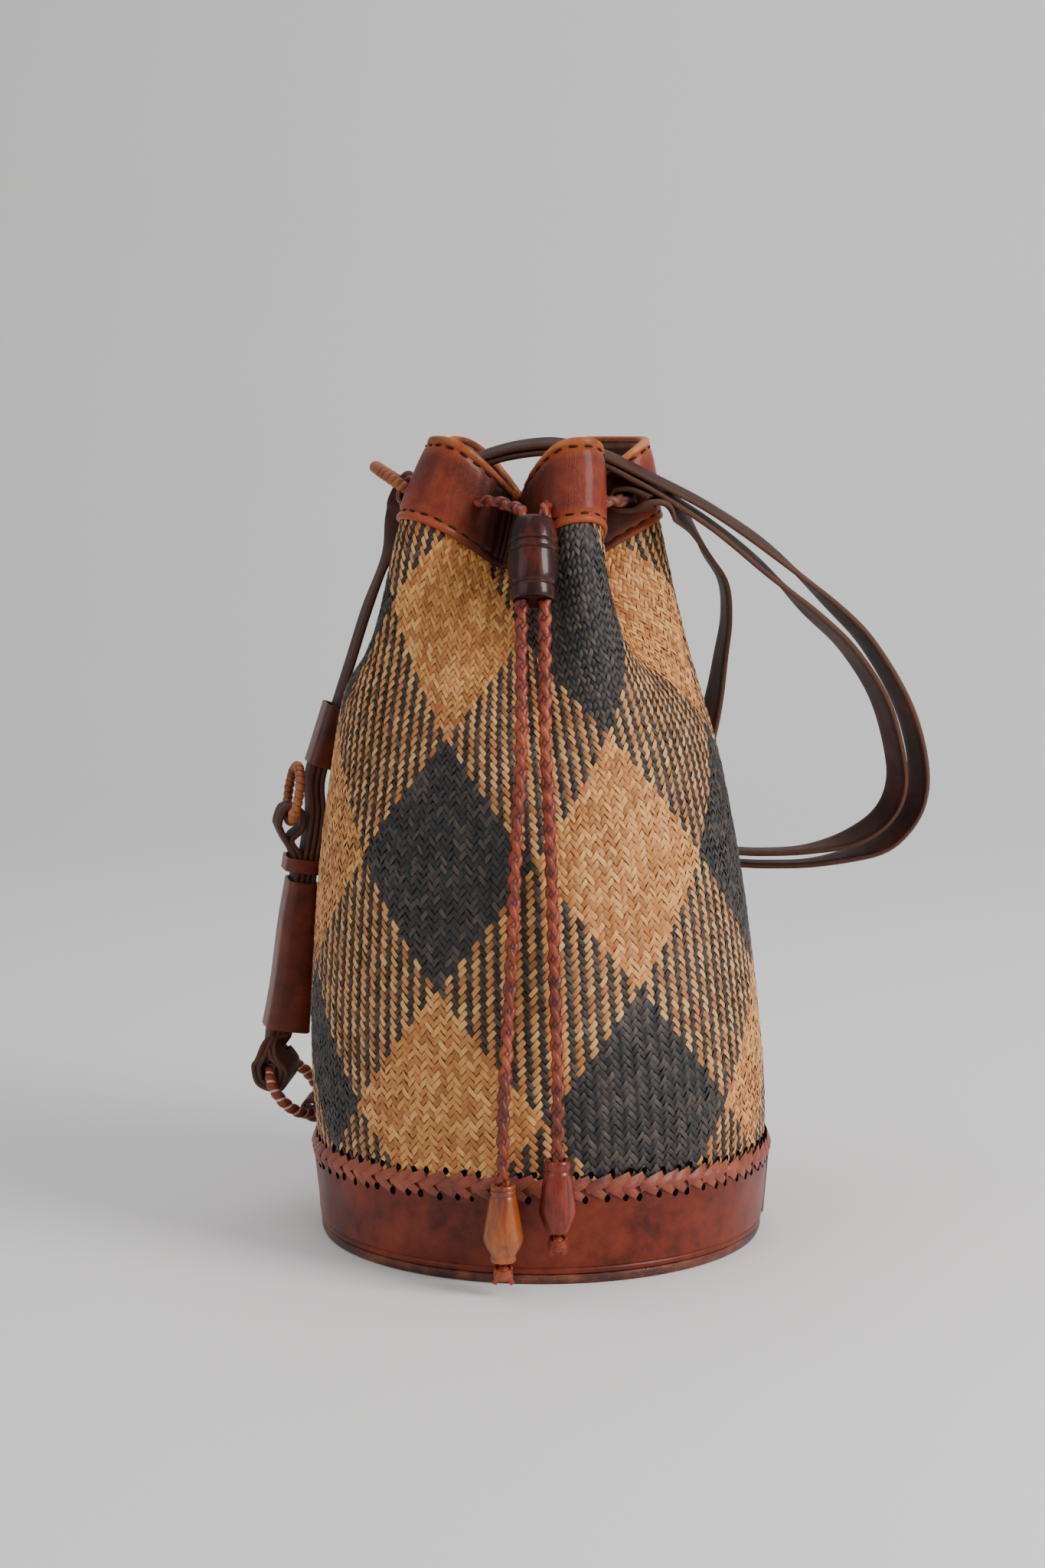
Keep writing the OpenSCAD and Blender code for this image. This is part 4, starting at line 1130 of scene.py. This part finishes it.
single = eye([36, -15.5, 309.8], unit([0.39, 0.92, 0]), [1, 0.1, 0], [0, 0, 309.8], 11,
    half=4.6) + [at(p[:3], p[3]) for p in [(53.5, -13, 307.5, (0.35, 0.9, 0.2)),
    (61.5, 3, 300.5, (0.1, 0.97, 0.2)), (71, 20, 285.5, (-0.05, 0.99, 0)),
    (78.4, 31, 273, (-0.1, 0.99, 0)), (80.5, 40, 258, (-0.15, 0.98, 0)),
    (79, 48, 241, (-0.25, 0.96, 0)), (75.5, 58, 215, (-0.45, 0.89, 0)), (68, 72, 187, (-0.75, 0.66, 0)),
    (57, 86, 158, (-0.85, 0.53, 0)),
    (44, 99, 128, (-0.93, 0.36, 0)), (33, 106.5, 104, back_side), (28.4, 107.6, 88, back_side),
    (28.2, 107.6, 80, back_side)]]


# Strap leather: smooth grain face and a rough cut edge
def strap_nodes(p):
    o = hide_nodes(p, (34, 13, 7), (58, 26, 17), (90, 50, 36))
    spot = p.add("ShaderNodeUVMap", uv_map="strip").outputs[0]
    across = p.add("ShaderNodeSeparateXYZ", {0: spot}).outputs[1]
    edge_a = p.add("ShaderNodeMapRange", {0: p.sums("ABSOLUTE", p.sums("SUBTRACT", across, 11.6), 0.0),
        1: 1.9, 2: 3.2, 3: 1.0, 4: 0.0}).outputs[0]
    edge_b = p.add("ShaderNodeMapRange", {0: p.sums("ABSOLUTE", p.sums("SUBTRACT", across, 25.6), 0.0),
        1: 1.9, 2: 3.2, 3: 1.0, 4: 0.0}).outputs[0]
    edge = p.sums("MAXIMUM", edge_a, edge_b)
    nap = p.add("ShaderNodeTexNoise", {"Vector": spot, "Scale": 1.4, "Detail": 6.0,
        "Roughness": 0.8}).outputs[0]
    rim = p.ramp(nap, [(0.3, srgb(62, 38, 30)[:3]), (0.7, srgb(128, 92, 74)[:3])])
    return p.mix(p.sums("MULTIPLY", edge, 0.55), o[0], rim), p.sums("ADD", o[2], 0.12), p.sums("ADD",
        o[1], p.sums("MULTIPLY", nap, 0.6)), (0.5, 0.0006)


strap_hide = finish_material("strap_leather", strap_nodes, Specular_IOR_Level=0.18)
for name, points, cad in (("strap_long_left", left_strap, "strap_left"),
        ("strap_loop", left_loop, "strap_loop_left"), ("strap_arc_outer", pair_outer, "strap_pair_outer"),
        ("strap_arc_inner", pair_inner, "strap_pair_inner"), ("strap_behind", single, "strap_single")):
    bm = bmesh.new()
    ribbon(bm, points, STRAP_W, STRAP_T, n=6)
    to_piece(name, bm, strap_hide, cad=(cad,))


# ---------------------------------------------------------------- wrapped rings
def wrapped_ring(name, mid, a, b, r, t, body, cad, mat, wraps, wide, core=None, knob=None):
    a, b = unit(a), unit(b)
    n = np.cross(a, b)
    bm, core_bm = bmesh.new(), bmesh.new()

    def on_tube(turn, round_angle, radius):
        ring = np.cos(turn)[:, None] * a + np.sin(turn)[:, None] * b
        return mid + r * ring + radius[:, None] * (np.cos(round_angle)[:, None] * ring
            + np.sin(round_angle)[:, None] * n)

    def thong(u, v):
        turn = u * 2 * math.pi + (v - 0.5) * wide / r
        wob = 0.06 * np.sin(u * 61)
        radius = t / 2 - 0.42 + (0.42 + wob) * (1 - 0.75 * np.abs(2 * v - 1) ** 3)
        return on_tube(turn, u * 2 * math.pi * wraps, radius)

    def tube(u, v):
        return on_tube(u * 2 * math.pi, v * 2 * math.pi, np.full(len(u), t / 2 - 0.5))
    add_skin(bm, wraps * 14, 4, thong, uv=(wraps * 15, wide))
    add_skin(core_bm, 90, 12, tube, uv=(84, 14), close=True)
    bmesh.ops.remove_doubles(core_bm, verts=core_bm.verts[:], dist=1e-6)
    bmesh.ops.recalc_face_normals(core_bm, faces=core_bm.faces[:])
    if knob is not None:
        spot = mid + r * (math.cos(knob) * a + math.sin(knob) * b)
        along = -math.sin(knob) * a + math.cos(knob) * b
        m = Vector(along).to_track_quat("Z", "Y").to_matrix().to_4x4()
        m.translation = Vector(spot * MM)
        for k, (size, off) in enumerate(((0.56, -1.6), (0.66, 0.2), (0.6, 1.9))):
            bmesh.ops.create_uvsphere(bm, u_segments=16, v_segments=10, radius=t * size * MM,
                matrix=m @ Matrix.Translation((0, 0, off * MM)) @ Matrix.Rotation(0.25 - 0.2 * k, 4, "X")
                @ Matrix.Diagonal((1, 1, 0.5, 1)))
    to_piece(name, bm, mat, body, (cad,))
    to_piece(name + "_core", core_bm, core or brown_thong, body)


wrapped_ring("ring_top", tl_mid, tl_a, tl_b, RING_R, RING_T, "top_ring", "ring_top_left", tan_hide, 34,
    2.35)
wrapped_ring("ring_low", ll_mid, ll_a, ll_b, RING_R, RING_T, "left_ring", "ring_lower_left", red_thong,
    20, 3.3, core=pale_core)
wrapped_ring("ring_back", lb_mid, lb_a, lb_b, RING_R, RING_T, "back_ring", "ring_lower_back", red_thong,
    22, 3.2, core=pale_core)
wrapped_ring("adjuster_wrap", adj_mid, sl_up, sl_across, 12, 4.4, "adjuster", "adjuster_ring", tan_hide,
    26, 2.6, knob=-2.3)


# ---------------------------------------------------------------- ring tabs
sleeve_hide = hide("sleeve_leather", (58, 16, 8), (92, 30, 16), (122, 50, 28), (0.25, 0.0004), 0.6,
    Specular_IOR_Level=0.35, Coat_Weight=0.2, Coat_Roughness=0.25)


def tab(name, q, rim, root, mid, cad):
    q, rim, root, mid = (np.asarray(x, float) for x in (q, rim, root, mid))
    away = (root - q) - np.dot(root - q, rim) * rim
    u = unit(away)
    v = np.cross(rim, u)
    leg = min(8, 0.62 * np.linalg.norm(away))
    half = RING_T / 2 + 2.1
    inward = unit(mid - q)
    turn = [(leg, -1.1, 0), (leg * 0.5, -half * 0.8, 0.6), (-0.1 * half, -half, 1),
        (-0.78 * half, -0.7 * half, 1), (-half * 1.05, 0, 1),
        (-0.78 * half, 0.7 * half, 1), (-0.1 * half, half, 1), (leg * 0.5, half * 0.8, 0.6),
        (leg, 1.1, 0)]
    bm = bmesh.new()
    ribbon(bm, [at(root - 1.1 * v, rim)] + [at(q + a * u + b * v + c * inward, rim) for a, b, c in turn]
        + [at(root + 1.1 * v, rim)], 9, 1.5, n=6, soft=0.35)
    to_piece(name, bm, sleeve_hide, cad=(cad,))


tab("tab_top", top_q(62), top_rim(62), [-54.6, -12.5, 301], tl_mid, "tab_top_left")
tab("tab_low", ll_mid - RING_R * ll_a, ll_b, [-91.5, 25, 42], ll_mid, "tab_lower_left")
tab("tab_back", lb_mid - RING_R * lb_a, lb_b, [25, 96.5, 40], lb_mid, "tab_lower_back")


# ---------------------------------------------------------------- sleeves and keeper
def sleeve(name, mid, out, across, up, depth, wide, tall, body, cad, flare=0.0, squeeze=0.0):
    """A leather tube with soft corners: its section runs round outside, then back inside."""
    bm = bmesh.new()
    count = 40
    turn = np.arange(count + 1) / count * 2 * math.pi

    def outline(dx, dy, power):
        c, s = np.cos(turn), np.sin(turn)
        k = (np.abs(c) ** power + np.abs(s) ** power) ** (-1 / power)
        return dx * k * c, dy * k * s
    rows = [(-1, -0.35, 1), (-1, 0.0, 1), (-0.985, 0.18, 1), (-0.9, 0.05, 1), (-0.5, 0.0, 1), (0, 0.0, 1),
        (0.5, 0.0, 1), (0.9, 0.05, 1), (0.985, 0.18, 1), (1, 0.0, 1), (1, -0.35, 1),
        (0.98, -1.2, 0), (0.5, -1.25, 0), (0, -1.25, 0), (-0.5, -1.25, 0), (-0.98, -1.2, 0),
        (-1, -0.35, 1)]
    xs_o, ys_o = outline(depth / 2 + 1.4, wide / 2 + 1.4, 5.5)

    def place(u, v):
        row = np.clip(v * (len(rows) - 1), 0, len(rows) - 1)
        k = np.arange(len(rows))
        z = np.interp(row, k, [q[0] for q in rows]) * tall / 2
        off = np.interp(row, k, [q[1] for q in rows])
        x = np.interp(u * count, np.arange(count + 1), xs_o)
        y = np.interp(u * count, np.arange(count + 1), ys_o)
        flat = np.stack([x, y], axis=-1)
        away = flat / np.linalg.norm(flat, axis=1)[:, None]
        drop = ease(0.5 - z / tall)
        flat = flat + away * off[:, None]
        flat[:, 0] = flat[:, 0] - flare * drop * np.clip(-flat[:, 0] / depth, 0,
            1) + 0.35 * squeeze * np.sin(z / tall * 7) * np.sign(flat[:, 0])
        return mid + flat[:, :1] * out + flat[:, 1:] * across + z[:, None] * up
    add_skin(bm, count, 32, place, uv=(45, tall * 2))
    bmesh.ops.remove_doubles(bm, verts=bm.verts[:], dist=2e-6)
    bmesh.ops.recalc_face_normals(bm, faces=bm.faces[:])
    to_piece(name, bm, sleeve_hide, body, (cad,))


sleeve("sleeve_big", sl_mid, sl_out, sl_across, sl_up, 4 * L + 0.8, STRAP_W + 0.8, 66, "sleeve",
    "sleeve_large", flare=9.0, squeeze=1.0)
sleeve("keeper_loop", sl(0.5 * L, 40)[:3], sl_out, sl_across, sl_up, 5 * L + 0.8, STRAP_W + 0.8, 6,
    "keeper", "strap_keeper")
sleeve("sleeve_small", us(-0.5 * L, 0)[:3], up_out, up_across, up_up, 3 * L + 0.5, STRAP_W + 0.8, 27,
    "bag", "sleeve_upper")
sleeve("sleeve_behind", vec(29.3, 111.3, 84), unit([0.26, 0.97, 0]), unit([-0.97, 0.26, 0]), vec(0, 0, 1),
    11.6, STRAP_W + 0.8, 12, "bag", "sleeve_back")


# ---------------------------------------------------------------- knotted cord ends
def thong_path(bm, points, wide=2.2, thick=1.0):
    p = [np.asarray(q, float) for q in points]
    ways = []
    for i in range(len(p)):
        t = unit(p[min(i + 1, len(p) - 1)] - p[max(i - 1, 0)])
        w = np.cross(t, vec(0.2, -1, 0.1))
        ways.append(at(p[i], unit(w)))
    ribbon(bm, ways, wide, thick, n=4, soft=0.3)


def knot(name, x, z, cad, ends):
    """Two wraps of thong under a bead, with cut ends that hang out."""
    bm = bmesh.new()
    y = -108.5
    for turn, lift, r in ((0.0, 0.9, 3.1), (1.9, -0.9, 3.3)):
        ring = [(x + r * math.cos(turn + q), y + r * math.sin(turn + q),
            z + lift + 0.9 * math.sin(q + turn)) for q in np.linspace(0, 5.9, 12)]
        p = [np.asarray(q, float) for q in ring]
        ribbon(bm, [at(q, unit(vec(0.25 * math.cos(i), 0.25 * math.sin(i), 1))) for i, q in enumerate(p)],
            2.4, 1.1, n=3, soft=0.3)
    for dx, dy, dz, lean_x in ends:
        thong_path(bm, [(x + dx * 0.3, y + dy, z + 1.5), (x + dx * 0.7, y + dy - 1.2, z - 1),
            (x + dx, y + dy - 1.0, z - 2.4), (x + dx + lean_x, y + dy - 0.6, z + dz)])
    bmesh.ops.create_uvsphere(bm, u_segments=12, v_segments=8, radius=2.7 * MM,
        matrix=Matrix.Translation((x * MM, y * MM, z * MM)) @ Matrix.Diagonal((1, 1, 1.1, 1)))
    return to_piece(name, bm, red_thong, "bag", (cad,))


knot_l = knot("knot_amber_end", -15.6, 9.6, "knot_left",
    [(-2.8, -1.6, -4.0, -0.7), (2.9, -1.2, -4.2, 0.8)])
knot_r = knot("knot_mahogany_end", 5.8, 21.4, "knot_right",
    [(-2.4, -1.6, -4.4, 0.4), (2.6, -1.4, -4.2, -0.5)])


# ---------------------------------------------------------------- finishing off
def stage_floor():
    bm = bmesh.new()
    line = [bm.verts.new((-6, y, z)) for y, z in [(-4, 0), (1.2, 0)]
        + [(1.2 + 0.9 * math.sin(t), 0.9 - 0.9 * math.cos(t))
        for t in np.radians(np.arange(10, 91, 10))] + [(2.1, 5)]]
    edges = [bm.edges.new((line[i], line[i + 1])) for i in range(len(line) - 1)]
    made = bmesh.ops.extrude_edge_only(bm, edges=edges)
    bmesh.ops.translate(bm, vec=(12, 0, 0), verts=[v for v in made["geom"]
        if isinstance(v, bmesh.types.BMVert)])
    bmesh.ops.recalc_face_normals(bm, faces=bm.faces[:])
    mesh = bpy.data.meshes.new("floor")
    bm.to_mesh(mesh)
    bm.free()
    mesh.shade_smooth()
    mesh.materials.append(floor_paint)
    floor = bpy.data.objects.new("floor", mesh)
    scene.collection.objects.link(floor)


stage_floor()
finishes = {"cane": natural_cane, "cognac_leather": cognac, "dark_leather": dark_hide,
    "lining": inner_hide,
    "thread": thread, "dark_wood": dark_wood, "amber_wood": amber_wood, "red_wood": red_wood}
for sub in frame["record"]["subparts"]:
    node = frame["nodes"][sub["node"]]
    node.data.materials.clear()
    node.data.materials.append(finishes[sub["material_slot"]])
    node.data.shade_smooth()
